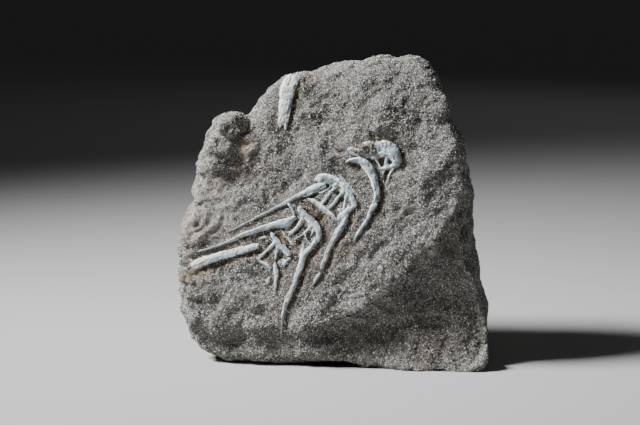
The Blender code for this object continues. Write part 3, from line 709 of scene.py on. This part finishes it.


# Bone, bluish grey and cream, streaked along its fibres, brown where it meets the sand and along fine
# cracks. Its high upper left sides, which face the lamp, are painted a lighter cream as painted light,
# and its lower right flanks a darker bluish grey as painted shade.
SHADED_FLANK_TONES = [(0.0, (0.200, 0.255, 0.290)), (0.5, (0.310, 0.380, 0.415)), (1.0, (0.46, 0.525, 0.550))]
LIT_CREST_TONES = [(0.0, (0.80, 0.870, 0.895)), (0.5, (0.90, 0.930, 0.925)), (1.0, (0.96, 0.935, 0.870))]
FIBRE_SHADE = (0.62, 0.66, 0.66)
CRACK_BROWN = (0.30, 0.24, 0.17)
SAND_BROWN = (0.20, 0.150, 0.105)
BONE_STAINS = [
    # centre (x, y, z) mm, radius mm, colour, strength: cream and ochre on the blade, the cap, two
    # rims, the haemal spines and the end of the lowest spine, blue on the plate and long spines
    ((-24.0, -11.0, 104.0), 8.0, (0.64, 0.54, 0.40), 0.65),
    ((-22.5, -8.0, 116.0), 7.0, (0.76, 0.69, 0.56), 0.65),
    ((27.4, -15.0, 90.0), 3.6, (0.48, 0.45, 0.34), 0.60),
    ((19.5, -14.0, 90.5), 1.8, (0.62, 0.46, 0.38), 0.45),
    ((13.5, -15.0, 91.5), 6.5, (0.52, 0.57, 0.59), 0.50),
    ((-60.5, -26.0, 41.0), 4.5, (0.48, 0.41, 0.30), 0.70),
    ((24.0, -15.0, 92.0), 3.6, (0.90, 0.84, 0.72), 0.50),
    ((-9.0, -22.0, 61.0), 5.5, (0.84, 0.80, 0.70), 0.50),
    ((4.0, -18.0, 76.0), 5.5, (0.88, 0.85, 0.76), 0.45),
    ((-57.0, -26.0, 42.5), 6.0, (0.66, 0.60, 0.46), 0.60),
    ((-16.5, -29.0, 31.0), 8.0, (0.62, 0.56, 0.45), 0.60),
    ((-19.8, -33.0, 19.0), 7.0, (0.66, 0.60, 0.48), 0.60),
    ((1.8, -23.0, 54.0), 6.0, (0.48, 0.46, 0.41), 0.55),
    ((-2.5, -26.0, 46.0), 4.5, (0.64, 0.56, 0.46), 0.55),
    ((-24.0, -22.0, 60.0), 9.0, (0.58, 0.69, 0.77), 0.45),
    ((-42.0, -25.0, 48.5), 9.0, (0.62, 0.71, 0.76), 0.40),
]
fossil_bone, start, place, bone_shader = new_finish("fossil bone")
level = start.attribute("height") + 1.2 * (place.noise(1.2 * MM, 3.0) - 0.5)
side = start.attribute("side") + 0.9 * (place.noise(2.0 * MM, 3.0) - 0.5)
pale = start.attribute("pale")
grain = start.node("ShaderNodeCombineXYZ", {}, {0: start.attribute("along") / FIBRE_LENGTH,
                                                1: start.attribute("across") / FIBRE_WIDTH, 2: pale})
streaks = grain.noise(0.8, 2.0, 0.6)
# painted light and shade: flank tones for the shaded lower right, crest tones for the lit upper left
shaded_flank = place.noise(2.6 * MM, 3.0).step(0.3, 0.7).ramp(SHADED_FLANK_TONES)
crest = place.noise(3.6 * MM, 3.0).step(0.3, 0.72).ramp(LIT_CREST_TONES)
# painted light on the high upper left side, painted shade on the lower right flank
colour = shaded_flank.tint(side.step(-0.10, 0.75) * level.step(0.1, 1.0), crest)
colour = colour.tint(0.55 * streaks.step(0.50, 0.72), FIBRE_SHADE, "MULTIPLY")
colour = with_stains_light_and_shade(colour, place, BONE_STAINS, (0.25, 0.6))
darker = start.node("ShaderNodeCombineColor", {}, {0: pale, 1: pale, 2: pale})
colour = colour.tint(1.0, darker, "MULTIPLY")
vein = place.noise(1.3 * MM, 4.0, 0.6, 0.8) - 0.5
crack = 1 - vein.maths("ABSOLUTE", vein).step(0.0, 0.03)
colour = colour.tint(0.30 * crack, CRACK_BROWN)
low = 1 - level.step(-0.15, 0.55)
colour = colour.tint(0.80 * low, SAND_BROWN)
bump = start.node("ShaderNodeBump", {}, {"Strength": 0.4, "Distance": 0.08 * MM,
                                         "Height": place.noise(0.3 * MM, 3.0)})
tree = fossil_bone.node_tree
tree.links.new(colour.socket, bone_shader.inputs["Base Color"])
tree.links.new(bump.socket, bone_shader.inputs["Normal"])
tree.links.new((0.55 + 0.3 * low).socket, bone_shader.inputs["Roughness"])
bone_shader.inputs["Specular IOR Level"].default_value = 0.4

build_bone("vertebra_1", [
    # cap
    (ROUND, 0.5, [(19.4, 94.4, 2.2), (20.6, 93.6, 4.4), (22.8, 92.4, 5.6), (24.9, 90.2, 6.0),
                  (26.4, 87.7, 5.0), (27.3, 85.5, 3.2)]),
    # fold below the cap
    (ROUND, 0.4, [(15.6, 87.5, 1.4), (17.2, 88.3, 2.3), (19.4, 89.1, 2.7), (21.8, 89.6, 2.8),
                  (24.4, 89.4, 2.6)]),
    (FLAT, 0.6, [(18.6, 89.3, 2.2), (20.6, 90.4, 3.0), (22.6, 91.2, 3.4)]),
    # crease
    (ROUND, 0.6, [(16.9, 89.9, 0.8), (18.8, 90.5, 1.1), (20.5, 91.7, 1.2)]),
    # plate
    (FLAT, 0.7, [(16.6, 89.6, 1.6), (17.4, 91.0, 3.0), (17.6, 92.8, 4.0), (16.9, 94.4, 2.6)]),
    (FLAT, 0.7, [(18.8, 91.6, 2.0), (19.2, 93.2, 2.6), (18.9, 94.9, 1.2)]),
    (FLAT, 0.7, [(17.0, 92.6, 2.0), (15.9, 93.6, 2.2), (15.2, 94.8, 1.0)]),
    (FLAT, 0.6, [(16.4, 93.6, 2.6), (14.6, 93.6, 2.8), (12.8, 93.3, 2.6), (11.3, 93.0, 1.4)]),
    (FLAT, 0.6, [(12.6, 93.2, 1.6), (11.2, 92.5, 1.7), (10.3, 91.6, 1.5), (9.6, 90.8, 1.3)]),
    (FLAT, 0.6, [(17.0, 89.6, 2.6), (15.2, 88.8, 2.8), (13.0, 88.8, 2.6), (11.0, 89.4, 2.6),
                 (9.4, 90.4, 2.2)]),
    # tail
    (FLAT, 0.5, [(5.4, 91.3, 1.5), (7.2, 91.1, 2.6), (9.6, 90.6, 3.0)]),
    (FLAT, 0.4, [(6.3, 89.9, 1.0), (7.8, 89.7, 1.7), (9.6, 89.5, 2.0)]),
    (FLAT, 0.4, [(7.3, 92.4, 0.8), (8.4, 91.9, 1.3)]),
    # tooth on the plate
    (FLAT, 0.5, [(14.9, 94.0, 1.2), (13.8, 94.6, 0.8)]),
    # lower rim
    (ROUND, 0.3, [(27.6, 86.0, 2.0), (25.8, 85.0, 2.0), (23.6, 84.2, 2.2), (21.4, 83.7, 1.9),
                  (19.0, 83.3, 1.2)]),
    # struts
    (ROUND, 0.2, [(22.5, 88.8, 2.0), (22.2, 86.8, 1.7), (22.5, 84.8, 2.2)]),
    (ROUND, 0.2, [(25.8, 88.2, 1.8), (25.5, 86.6, 1.3), (24.6, 84.9, 1.6)]),
    (ROUND, 0.1, [(17.6, 88.2, 1.6), (18.4, 86.2, 1.3), (19.6, 84.2, 1.5)]),
    # ring below the struts
    (ROUND, 0.3, [(27.6, 85.4, 1.6), (25.5, 84.0, 1.3), (24.3, 82.4, 1.3), (23.5, 80.6, 1.4),
                  (23.2, 78.8, 0.8)]),
    (ROUND, 0.1, [(21.8, 83.4, 0.9), (20.9, 81.6, 0.8), (20.8, 79.8, 0.7), (21.4, 77.9, 0.5)]),
])

# ==========================================================================================
# Arched spine: a thick crescent of bone that swings down from the left tip, with a knob where
# it broke and a thin spine running on to the lower left.
# ==========================================================================================
build_bone("arched_spine", [
    # crescent
    (ROUND, 0.5, [(5.1, 85.8, 0.8), (6.4, 86.4, 1.4), (8.2, 86.6, 2.1), (10.9, 86.6, 3.2),
                  (13.2, 85.4, 4.2), (15.1, 83.4, 4.4), (16.3, 81.1, 4.0), (17.4, 78.8, 3.6),
                  (18.2, 76.3, 3.4), (18.8, 73.9, 3.0), (19.0, 71.6, 2.3), (18.6, 69.8, 2.6)]),
    # knob where it broke
    (ROUND, 0.6, [(18.6, 70.0, 2.3), (17.4, 69.1, 1.8)]),
    # thin spine
    (ROUND, 0.4, [(18.3, 69.4, 2.5), (17.4, 67.5, 2.7), (16.4, 65.5, 2.1), (15.2, 62.5, 1.8),
                  (13.4, 59.6, 1.9), (11.6, 56.7, 1.8), (10.1, 53.8, 0.8)]),
], slim=1.04, shift=0.2)

# ==========================================================================================
# Second vertebra and its spines: a thick front rim, struts running back from it through dug
# out pits to a lower rear rim, an arch below that passes into the haemal spine, and a long
# thin neural spine to the left.
# ==========================================================================================
build_bone("vertebra_2", [
    # front rim
    (ROUND, 0.7, [(-6.1, 78.0, 2.2), (-3.9, 79.5, 2.8), (-0.7, 79.1, 2.9), (1.7, 77.9, 3.0),
                  (4.0, 76.2, 2.9), (6.0, 74.3, 2.8), (7.7, 71.9, 2.7), (9.1, 69.3, 2.9),
                  (9.6, 67.6, 2.4)]),
    # its flat inner edges
    (FLAT, 0.5, [(-8.4, 77.9, 1.4), (-6.0, 78.4, 3.2), (-3.4, 78.2, 3.8), (-1.0, 77.4, 3.2)]),
    (FLAT, 0.0, [(-1.4, 77.3, 2.8), (1.6, 75.7, 3.2), (4.0, 73.8, 3.0), (5.8, 71.8, 2.6),
                 (7.2, 69.4, 2.2)]),
    (FLAT, 0.3, [(7.5, 66.9, 2.6), (5.8, 65.2, 3.8), (4.0, 63.8, 3.6), (2.6, 61.8, 2.2)]),
    # its upper left end
    (ROUND, 0.2, [(-7.2, 78.8, 1.2), (-6.2, 79.8, 1.8), (-4.6, 80.3, 1.8), (-2.6, 80.2, 1.6)]),
    (ROUND, 0.2, [(-6.5, 76.7, 1.3), (-5.3, 78.0, 1.5)]),
    # struts
    (ROUND, 0.1, [(0.0, 77.9, 1.9), (-1.0, 76.2, 1.2), (-2.1, 74.6, 1.1), (-3.8, 73.5, 1.0),
                  (-4.5, 73.1, 0.8)]),
    (ROUND, 0.3, [(1.9, 77.1, 2.6), (0.9, 75.5, 2.0), (-0.2, 73.9, 1.8), (-2.1, 71.6, 1.8),
                  (-3.6, 69.6, 2.0), (-4.5, 68.4, 1.6)]),
    (ROUND, 0.0, [(-0.1, 74.2, 1.0), (-2.1, 73.3, 0.9), (-3.5, 71.5, 0.9)]),
    (ROUND, 0.3, [(4.8, 74.3, 2.6), (3.7, 73.0, 1.8), (2.5, 71.4, 1.6), (0.9, 69.2, 1.7),
                  (-1.0, 67.1, 1.9), (-2.1, 66.1, 1.4)]),
    (ROUND, 0.2, [(6.6, 72.7, 2.2), (5.9, 71.5, 1.6), (5.4, 69.9, 1.5), (5.1, 67.8, 1.8),
                  (4.9, 66.1, 2.4)]),
    (ROUND, 0.1, [(5.4, 69.0, 0.9), (6.5, 67.8, 1.0), (7.7, 66.3, 1.4)]),
    # arch
    (ROUND, 0.3, [(9.7, 67.9, 1.4), (8.3, 66.8, 2.3), (6.5, 65.8, 2.5), (5.3, 64.7, 2.9),
                  (5.3, 63.1, 2.5)]),
    (ROUND, 0.2, [(1.9, 66.5, 1.0), (3.4, 65.9, 1.9), (4.6, 64.6, 2.1)]),
    (ROUND, 0.3, [(6.6, 65.1, 2.1), (6.1, 63.3, 2.1), (5.1, 61.6, 1.9)]),
    (ROUND, 0.1, [(4.2, 63.6, 1.7), (3.6, 62.2, 1.0), (2.8, 60.6, 0.8), (2.3, 59.3, 0.7)]),
    # hair line, and the buried edge beside it
    (ROUND, 0.3, [(0.6, 81.9, 0.5), (2.7, 80.1, 0.7), (4.9, 78.2, 0.7), (6.8, 76.2, 0.7),
                  (9.4, 73.4, 0.7), (12.0, 70.8, 0.5)]),
    (ROUND, -0.2, [(2.8, 79.1, 1.3), (5.2, 77.0, 1.4), (7.5, 74.6, 1.4), (9.6, 72.0, 1.0)]),
    # rear rim
    (ROUND, 0.3, [(-11.0, 70.0, 1.5), (-9.7, 69.9, 2.0), (-7.7, 69.0, 2.5), (-4.8, 67.1, 2.9),
                  (-1.9, 65.0, 2.7), (0.4, 63.3, 2.1), (2.5, 61.7, 1.1)]),
], slim=0.93)
build_bone("neural_spine_2", [
    # spine
    (ROUND, 0.2, [(-5.2, 75.3, 2.0), (-7.7, 74.6, 2.6), (-10.4, 73.7, 2.6), (-13.0, 72.4, 2.3),
                  (-15.9, 70.9, 2.0), (-19.1, 69.1, 1.8), (-22.1, 67.3, 1.7), (-24.7, 65.9, 1.6),
                  (-27.5, 64.4, 1.4), (-30.3, 63.0, 1.3), (-33.7, 61.2, 1.1), (-37.4, 59.3, 0.9),
                  (-41.2, 57.3, 0.8), (-45.1, 55.5, 0.6)]),
    # its flat root
    (FLAT, 0.3, [(-3.2, 76.3, 2.6), (-5.8, 75.4, 3.6), (-8.4, 74.3, 4.0), (-10.8, 73.1, 3.8),
                 (-13.6, 71.7, 2.6)]),
    # stub
    (ROUND, 0.1, [(-4.2, 73.4, 1.0), (-5.5, 72.9, 1.1), (-6.6, 73.7, 1.1)]),
])
build_bone("haemal_spine_2", [
    (ROUND, 0.5, [(5.8, 63.0, 2.6), (5.2, 61.6, 2.8), (4.3, 59.9, 3.1), (3.2, 58.2, 3.4),
                  (2.1, 56.5, 3.3), (1.0, 54.4, 2.9), (0.0, 52.3, 2.5), (-1.1, 49.9, 2.5),
                  (-2.3, 46.6, 2.6), (-3.4, 43.9, 2.4), (-3.8, 42.1, 1.7)]),
], pale=0.80, slim=0.92, shift=-0.4)
build_bone("haemal_spine_2_tip", [
    (ROUND, 0.1, [(-4.1, 40.4, 1.7), (-5.2, 39.1, 2.1), (-6.2, 37.5, 2.1), (-7.5, 35.1, 1.0)]),
], pale=0.85, slim=0.9, shift=-0.3)
build_bone("spine_needle", [
    (ROUND, 0.0, [(-8.2, 33.1, 0.6), (-9.1, 31.3, 0.9), (-10.1, 29.5, 0.8), (-11.1, 27.7, 0.4)]),
])
build_bone("cross_bar", [
    (ROUND, 0.3, [(-19.5, 68.6, 1.0), (-18.6, 67.7, 1.4), (-17.5, 66.6, 1.6), (-16.8, 65.3, 1.6),
                  (-16.3, 63.9, 1.1)]),
])

# ==========================================================================================
# Third vertebra and its spines: rim, thin struts in deep pits, a rear rim, the forked root of
# the longest haemal spine and a long neural spine with a ragged flap at its start.
# ==========================================================================================
build_bone("vertebra_3", [
    # front rim
    (ROUND, 0.7, [(-14.2, 67.3, 1.9), (-13.6, 66.2, 2.9), (-12.3, 64.3, 3.4), (-9.8, 61.9, 3.6),
                  (-6.9, 59.3, 3.6), (-5.3, 57.2, 3.4), (-5.3, 55.0, 2.9), (-6.2, 53.2, 3.0)]),
    (ROUND, 0.6, [(-5.0, 58.0, 2.1), (-4.5, 55.4, 2.1)]),
    # its flat inner edge
    (FLAT, 0.0, [(-13.6, 63.8, 2.4), (-11.4, 61.2, 3.0), (-8.9, 58.8, 3.0), (-7.2, 56.6, 2.4)]),
    # forked root of the haemal spine
    (ROUND, 0.4, [(-6.2, 53.2, 2.9), (-7.3, 51.4, 2.6), (-9.0, 49.5, 2.7), (-10.4, 48.1, 2.8),
                  (-11.3, 46.6, 3.0)]),
    (ROUND, 0.3, [(-11.5, 51.5, 0.8), (-11.7, 49.9, 1.7), (-12.1, 48.3, 2.3), (-12.1, 46.4, 2.5)]),
    # struts
    (ROUND, 0.2, [(-12.2, 62.1, 2.8), (-13.1, 60.5, 2.2), (-14.4, 58.5, 2.0), (-16.0, 56.8, 2.0),
                  (-17.5, 55.3, 1.6), (-18.3, 54.0, 1.0)]),
    (ROUND, 0.0, [(-13.9, 65.2, 1.3), (-13.7, 63.2, 0.8), (-13.6, 61.6, 0.8)]),
    (ROUND, 0.3, [(-15.0, 57.8, 1.1), (-17.3, 56.5, 0.9), (-19.3, 56.1, 0.8)]),
    (ROUND, 0.2, [(-8.5, 59.5, 2.4), (-9.5, 58.1, 1.7), (-11.3, 56.0, 1.5), (-13.7, 54.4, 1.2),
                  (-15.9, 53.0, 1.0)]),
    (ROUND, 0.4, [(-11.4, 55.8, 1.0), (-10.5, 53.5, 1.0), (-8.7, 51.3, 1.1)]),
    (ROUND, 0.4, [(-7.2, 57.9, 1.4), (-8.1, 56.3, 1.0), (-8.9, 54.6, 0.9)]),
    # rear rim
    (ROUND, 0.2, [(-22.5, 58.1, 0.6), (-21.0, 56.4, 0.8), (-19.4, 54.7, 1.3), (-17.6, 53.0, 1.9),
                  (-16.3, 51.7, 1.7), (-15.1, 50.3, 0.8)]),
], slim=0.90, shift=0.2)
build_bone("haemal_spine_3", [
    (ROUND, 0.5, [(-11.3, 47.1, 3.4), (-12.1, 45.8, 4.0), (-12.5, 43.8, 3.8), (-13.3, 40.9, 3.6),
                  (-14.3, 37.6, 3.4), (-15.5, 34.3, 3.2), (-17.1, 30.6, 3.1), (-18.1, 28.0, 3.0),
                  (-18.8, 25.5, 2.5), (-19.4, 22.8, 2.0), (-19.9, 19.4, 1.5), (-20.3, 15.8, 1.1),
                  (-20.8, 12.5, 0.5)]),
], pale=0.85, slim=0.76, shift=-0.3)
build_bone("neural_spine_3", [
    # spine
    (ROUND, 0.3, [(-15.9, 62.9, 1.5), (-17.9, 61.7, 3.0), (-20.1, 60.7, 3.4), (-23.2, 59.9, 3.1),
                  (-25.9, 59.2, 2.8), (-28.6, 58.3, 2.5), (-31.4, 57.4, 2.4), (-34.0, 56.4, 2.3),
                  (-38.1, 55.0, 2.0), (-42.1, 53.0, 1.7), (-47.1, 50.9, 1.3), (-51.9, 49.2, 1.0),
                  (-57.0, 47.6, 0.9), (-60.9, 46.0, 0.6)]),
    # ragged flap
    (ROUND, 0.1, [(-18.1, 60.6, 1.7), (-19.5, 58.9, 1.7), (-20.9, 58.5, 1.0), (-22.2, 58.6, 1.0)]),
    # splinter
    (ROUND, 0.2, [(-23.4, 61.4, 0.8), (-23.6, 62.2, 0.6)]),
], slim=1.08, shift=-0.5)

# ==========================================================================================
# Fourth vertebra and its spines: a smaller rim with two struts, the short leaf of its haemal
# spine, a broad flat neural spine running out to the left edge, and a broken-off fragment.
# ==========================================================================================
build_bone("vertebra_4", [
    # rim
    (ROUND, 0.6, [(-25.9, 56.0, 1.3), (-25.1, 54.8, 2.3), (-23.8, 53.2, 2.7), (-21.8, 51.1, 2.8),
                  (-19.7, 49.2, 3.0), (-17.8, 47.7, 3.0), (-16.9, 46.9, 1.9)]),
    (FLAT, 0.0, [(-24.9, 53.1, 2.0), (-22.8, 50.9, 2.6), (-20.6, 48.9, 2.4)]),
    # struts
    (ROUND, 0.2, [(-23.6, 52.4, 2.6), (-24.9, 50.9, 1.9), (-26.8, 48.9, 1.7), (-28.7, 47.1, 1.7),
                  (-30.2, 45.5, 1.9), (-31.1, 44.4, 1.5)]),
    (ROUND, 0.2, [(-22.4, 50.4, 2.6), (-22.9, 48.8, 1.7), (-23.2, 47.1, 1.5), (-23.4, 45.2, 1.7)]),
    # lower edge
    (ROUND, 0.2, [(-31.9, 45.7, 1.0), (-30.3, 44.2, 1.7), (-28.4, 43.1, 1.9), (-26.6, 42.2, 2.1),
                  (-25.2, 41.1, 1.5)]),
    (ROUND, 0.1, [(-27.1, 42.5, 1.0), (-25.4, 43.7, 0.8), (-23.4, 45.2, 1.0)]),
], slim=0.93)
build_bone("haemal_spine_4", [
    (ROUND, 0.3, [(-23.4, 43.8, 1.3), (-23.1, 42.4, 2.4), (-22.6, 40.6, 3.1), (-22.4, 38.5, 3.0),
                  (-22.5, 36.5, 2.5), (-22.6, 34.3, 1.9), (-22.6, 32.4, 1.3), (-22.5, 30.6, 0.6)]),
], pale=0.92, slim=0.76, shift=0.5)
build_bone("neural_spine_4", [
    # spine
    (FLAT, 0.8, [(-31.2, 50.7, 2.0), (-33.2, 50.1, 2.9), (-37.0, 48.9, 3.1), (-40.5, 48.0, 3.2),
                 (-43.6, 47.1, 3.3), (-46.9, 46.1, 3.4), (-50.1, 45.0, 3.5), (-52.9, 44.1, 3.8),
                 (-55.5, 43.1, 4.0), (-57.8, 42.0, 3.8), (-59.9, 41.1, 2.6)]),
    # ridge along it
    (ROUND, 0.6, [(-34.2, 50.2, 0.9), (-38.5, 49.0, 1.3), (-43.8, 47.7, 1.4), (-49.0, 45.9, 1.3),
                  (-53.0, 44.6, 1.0)]),
], pale=0.92, slim=1.10, shift=-0.5)
build_bone("fragment_4", [
    (ROUND, 0.3, [(-16.7, 46.1, 0.8), (-17.7, 45.3, 1.4), (-19.1, 44.4, 2.1), (-19.6, 43.2, 1.9),
                  (-19.6, 41.9, 0.8)]),
    (ROUND, 0.2, [(-20.8, 45.2, 0.8), (-19.1, 44.4, 1.9)]),
    (ROUND, 0.2, [(-17.8, 43.2, 0.8), (-19.1, 44.3, 1.7)]),
])

# ==========================================================================================
# Loose bones: a flat blade of bone standing at the top left edge, and small flakes and a
# needle weathering out of the sand.
# ==========================================================================================
build_bone("bone_blade", [
    # blade
    (FLAT, 0.5, [(-18.2, 119.8, 5.6), (-19.3, 118.6, 6.2), (-20.4, 117.0, 6.5),
                 (-21.2, 115.2, 6.6), (-21.5, 112.7, 6.1), (-21.9, 110.1, 5.5),
                 (-22.3, 107.7, 4.9), (-22.7, 105.2, 4.1), (-23.1, 103.1, 3.6),
                 (-23.6, 101.1, 2.6), (-24.0, 99.6, 1.1)]),
    # broken corners
    (FLAT, 0.9, [(-16.5, 120.2, 3.2), (-17.7, 119.0, 4.0), (-18.8, 117.2, 4.0)]),
    (FLAT, 0.8, [(-20.2, 119.6, 2.8), (-20.9, 118.2, 3.4), (-21.0, 116.4, 3.4)]),
    # splinter along its right edge
    (FLAT, 0.7, [(-20.3, 107.7, 2.6), (-20.7, 104.4, 2.1), (-21.1, 101.9, 2.0), (-21.3, 99.8, 1.6),
                 (-21.6, 98.4, 0.8)]),
], slim=1.08)
build_bone("flake_left", [
    (FLAT, 0.2, [(-31.4, 53.2, 0.7), (-30.0, 53.6, 1.4), (-28.5, 53.8, 1.6), (-27.1, 54.0, 0.8)]),
])
build_bone("flake_lower", [
    (FLAT, 0.2, [(-25.8, 38.0, 0.8), (-26.2, 36.6, 2.1), (-26.5, 35.4, 2.1), (-26.7, 34.3, 0.8)]),
])
build_bone("flake_needle", [
    (ROUND, 0.0, [(6.6, 50.1, 0.5), (5.8, 48.4, 0.9), (4.7, 46.4, 0.5)]),
])

# ==========================================================================================
# Channels and sand grains. A channel was dug along the lower right of every bone. The broken
# surface shows the sand itself: angular grains of half a millimetre and more, half sunk in the
# cement, of five kinds, eight facets each, turned and stretched at random.
# ==========================================================================================
CHANNEL_DEPTH = 0.8 * MM
CHANNEL_MIDDLE = 0.7                     # mm beyond the bone's edge
CHANNEL_REACH = (0.3, 2.2)               # mm from its middle: full depth, run out
CHANNEL_FILL = 0.55                      # how much of its depth it has on the whole
CHANNEL_PATCH = 3.0                      # mm, length of its deeper and shallower stretches
CHANNEL_SWING = 1.3                      # how much they differ
THICK_BONE = 1.3                         # half-width in mm from which a channel has its full depth
CHANNEL_LIMIT = 7 * MM                   # there is none farther than this from all bones
SHADE_REACH = (0.5, 4.0)                  # the channel's reach for the brown painted shade on the bones' lower right side, away from the lamp
STAIN_REACH = (0.4 * MM, 3.2 * MM)       # sand is stained by the bone up to here, and clean from there
STAIN_STRENGTH = 0.45
GRAIN_GAP = 0.44 * MM                    # least distance between two grains' middles
GRAINS_OFFERED = 1e7                     # per square metre, far more than the gap lets through
GRAIN_HALF = (0.22 * MM, 0.40 * MM)      # smallest and largest half-width
GRAIN_CHIP = 0.07 * MM                   # how far a corner is knocked about
ANY_WAY = 6.28                           # radians, the largest turn about each axis
DRAWS = {"places": 4, "kind": 11, "turn": 5, "stretch": 6, "tone": 7, "chips": 8}  # their seeds
BAKE_CELLS = 170                         # grains along one side of a piece's bake map
BAKE_MARGIN = 0.15                       # share of a grain's cell that stays free on each side
CORNERS = 3                              # of a facet

MINERALS = [
    # name, share of the grains, darkest and lightest colour, roughness, share of the brown stain and
    # painted shade beside the bones that it takes
    ("quartz", 0.21, (0.27, 0.275, 0.275), (0.48, 0.486, 0.482), 0.45, 0.60),
    ("milky_quartz", 0.15, (0.50, 0.505, 0.50), (0.90, 0.90, 0.89), 0.55, 0.40),
    ("feldspar", 0.214, (0.25, 0.224, 0.192), (0.46, 0.427, 0.378), 0.70, 0.70),
    ("rock_chip", 0.214, (0.135, 0.127, 0.117), (0.27, 0.259, 0.243), 0.85, 1.0),
    ("dark_mineral", 0.212, (0.028, 0.028, 0.027), (0.110, 0.104, 0.098), 0.60, 1.0),
]


def in_channel(place, reach):
    """How deep in the channel beside the bones a place is, 0 to 1."""
    if place.y > 0 or bone_distance(place) > CHANNEL_LIMIT:
        return 0
    depth = 0
    for samples, tree in traces:
        spot, index, gap = tree.find(Vector((place.x, place.z, 0)) / MM)
        _, across, half = samples[index]
        beyond = -(Vector((place.x, place.z)) / MM - spot.xy).dot(across) - half
        if gap < half + CHANNEL_MIDDLE + reach[1] and beyond > -half:
            depth = max(depth, ramp_down(abs(beyond - CHANNEL_MIDDLE), *reach)
                        * min(1, half / THICK_BONE))
    return depth


def dug_channel(place):
    """The channel's depth at a place, 0 to 1, with its deeper and shallower stretches."""
    swing = CHANNEL_SWING * noise.noise(place / (CHANNEL_PATCH * MM))
    return in_channel(place, CHANNEL_REACH) * min(1, max(0, CHANNEL_FILL + swing))


def brown_sand_and_shade(place):
    """How brown the sand is painted at a place, 0 to 1: painted shade in the channels on the bones'
    lower right and in the pits, a real brown stain beside the bones.
    """
    return max(in_channel(place, SHADE_REACH), in_pit(place),
               STAIN_STRENGTH * ramp_down(bone_distance(place), *STAIN_REACH))


raise_surface(sandstone, "channels", -CHANNEL_DEPTH, dug_channel)
# the brown stain beside the bones, and the painted shade in the channels and pits
paint_attribute(sandstone, "stain", brown_sand_and_shade)


def strew_grains(name, start_share, end_share):
    """A piece made of the grains whose random number lies between the two shares."""
    select_only(sandstone)
    bpy.ops.object.duplicate(linked=False)
    grains = bpy.context.object
    grains.name = name + "_grains"
    tree = bpy.data.node_groups.new(name, "GeometryNodeTree")
    tree.interface.new_socket("Geometry", in_out="INPUT", socket_type="NodeSocketGeometry")
    tree.interface.new_socket("Geometry", in_out="OUTPUT", socket_type="NodeSocketGeometry")
    rock_in = Wire(tree).node("NodeGroupInput")

    def random_share(draw):
        return rock_in.node("FunctionNodeRandomValue", {"data_type": "FLOAT"}, {"Seed": DRAWS[draw]},
                            output=1)

    def random_vector(draw, low, high):
        return rock_in.node("FunctionNodeRandomValue", {"data_type": "FLOAT_VECTOR"},
                            {"Min": (low,) * 3, "Max": (high,) * 3, "Seed": DRAWS[draw]}, output=0)

    def store(geometry, kind, domain, label, value):
        return rock_in.node("GeometryNodeStoreNamedAttribute", {"data_type": kind, "domain": domain},
                            {"Geometry": geometry, "Name": label, "Value": value})

    place = rock_in.node("GeometryNodeInputPosition")
    height = rock_in.node("ShaderNodeSeparateXYZ", {}, {0: place}, output="Z")
    points = rock_in.node("GeometryNodeDistributePointsOnFaces", {"distribute_method": "POISSON"},
                          {"Mesh": rock_in, "Distance Min": GRAIN_GAP,
                           "Density Max": GRAINS_OFFERED, "Seed": DRAWS["places"]})
    kind = random_share("kind")
    others = (kind.maths("LESS_THAN", kind, start_share) + kind.maths("GREATER_THAN", kind, end_share)
              + height.maths("LESS_THAN", height, GRAIN_HALF[1]))
    points = rock_in.node("GeometryNodeDeleteGeometry", {"domain": "POINT"},
                          {"Geometry": points, "Selection": others})
    facets = rock_in.node("GeometryNodeMeshUVSphere", {}, {"Segments": 4, "Rings": 2, "Radius": 1.0})
    placed = rock_in.node("GeometryNodeInstanceOnPoints", {},
                          {"Points": points, "Instance": facets,
                           "Rotation": random_vector("turn", 0.0, ANY_WAY),
                           "Scale": random_vector("stretch", *GRAIN_HALF)})
    placed = store(placed, "FLOAT", "INSTANCE", "tone", random_share("tone"))
    placed = store(placed, "FLOAT", "INSTANCE", "cell", rock_in.node("GeometryNodeInputIndex"))
    solid = rock_in.node("GeometryNodeRealizeInstances", {}, {"Geometry": placed})
    knock = random_vector("chips", -GRAIN_CHIP, GRAIN_CHIP)
    solid = rock_in.node("GeometryNodeSetPosition", {}, {"Geometry": solid, "Offset": knock})
    cell = rock_in.node("GeometryNodeInputNamedAttribute", {"data_type": "FLOAT"}, {"Name": "cell"})
    corner = rock_in.maths("MODULO", rock_in.node("GeometryNodeInputIndex"), CORNERS)
    across = (cell.maths("MODULO", cell, BAKE_CELLS) + BAKE_MARGIN
              + (0.5 - BAKE_MARGIN) * corner) / BAKE_CELLS
    along = (cell.maths("FLOOR", cell / BAKE_CELLS) + BAKE_MARGIN
             + (1 - 2 * BAKE_MARGIN) * corner.maths("ABSOLUTE", corner - 1)) / BAKE_CELLS
    spot = rock_in.node("ShaderNodeCombineXYZ", {}, {0: across, 1: along})
    solid = store(solid, "FLOAT2", "CORNER", "OFBake", spot)
    result = tree.nodes.new("NodeGroupOutput")
    tree.links.new(solid.socket, result.inputs[0])
    finish_with(grains, "NODES", node_group=tree)
    grains.vertex_groups.clear()
    bpy.ops.object.shade_flat()
    return grains


share = 0.0
for name, part, dark, light, roughness, soak in MINERALS:
    grains = strew_grains(name, share, share + part)
    share += part
    mineral, start, place, mineral_shader = new_finish(name.replace("_", " "))
    tones = start.attribute("tone").ramp([(0.0, dark), (1.0, light)])
    colour = weather_with_painted_light(tones, place, soak)
    gloss = roughness + 0.12 * place.noise(0.4 * MM)
    mineral.node_tree.links.new(colour.socket, mineral_shader.inputs["Base Color"])
    mineral.node_tree.links.new(gloss.socket, mineral_shader.inputs["Roughness"])
    mineral_shader.inputs["Specular IOR Level"].default_value = 0.4
    dress(grains, mineral)
    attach(grains, "root")

# ==========================================================================================
# The working bed and sections are taken away.
# ==========================================================================================
for working_shape in (bed, ROUND, FLAT):
    bpy.data.objects.remove(working_shape)
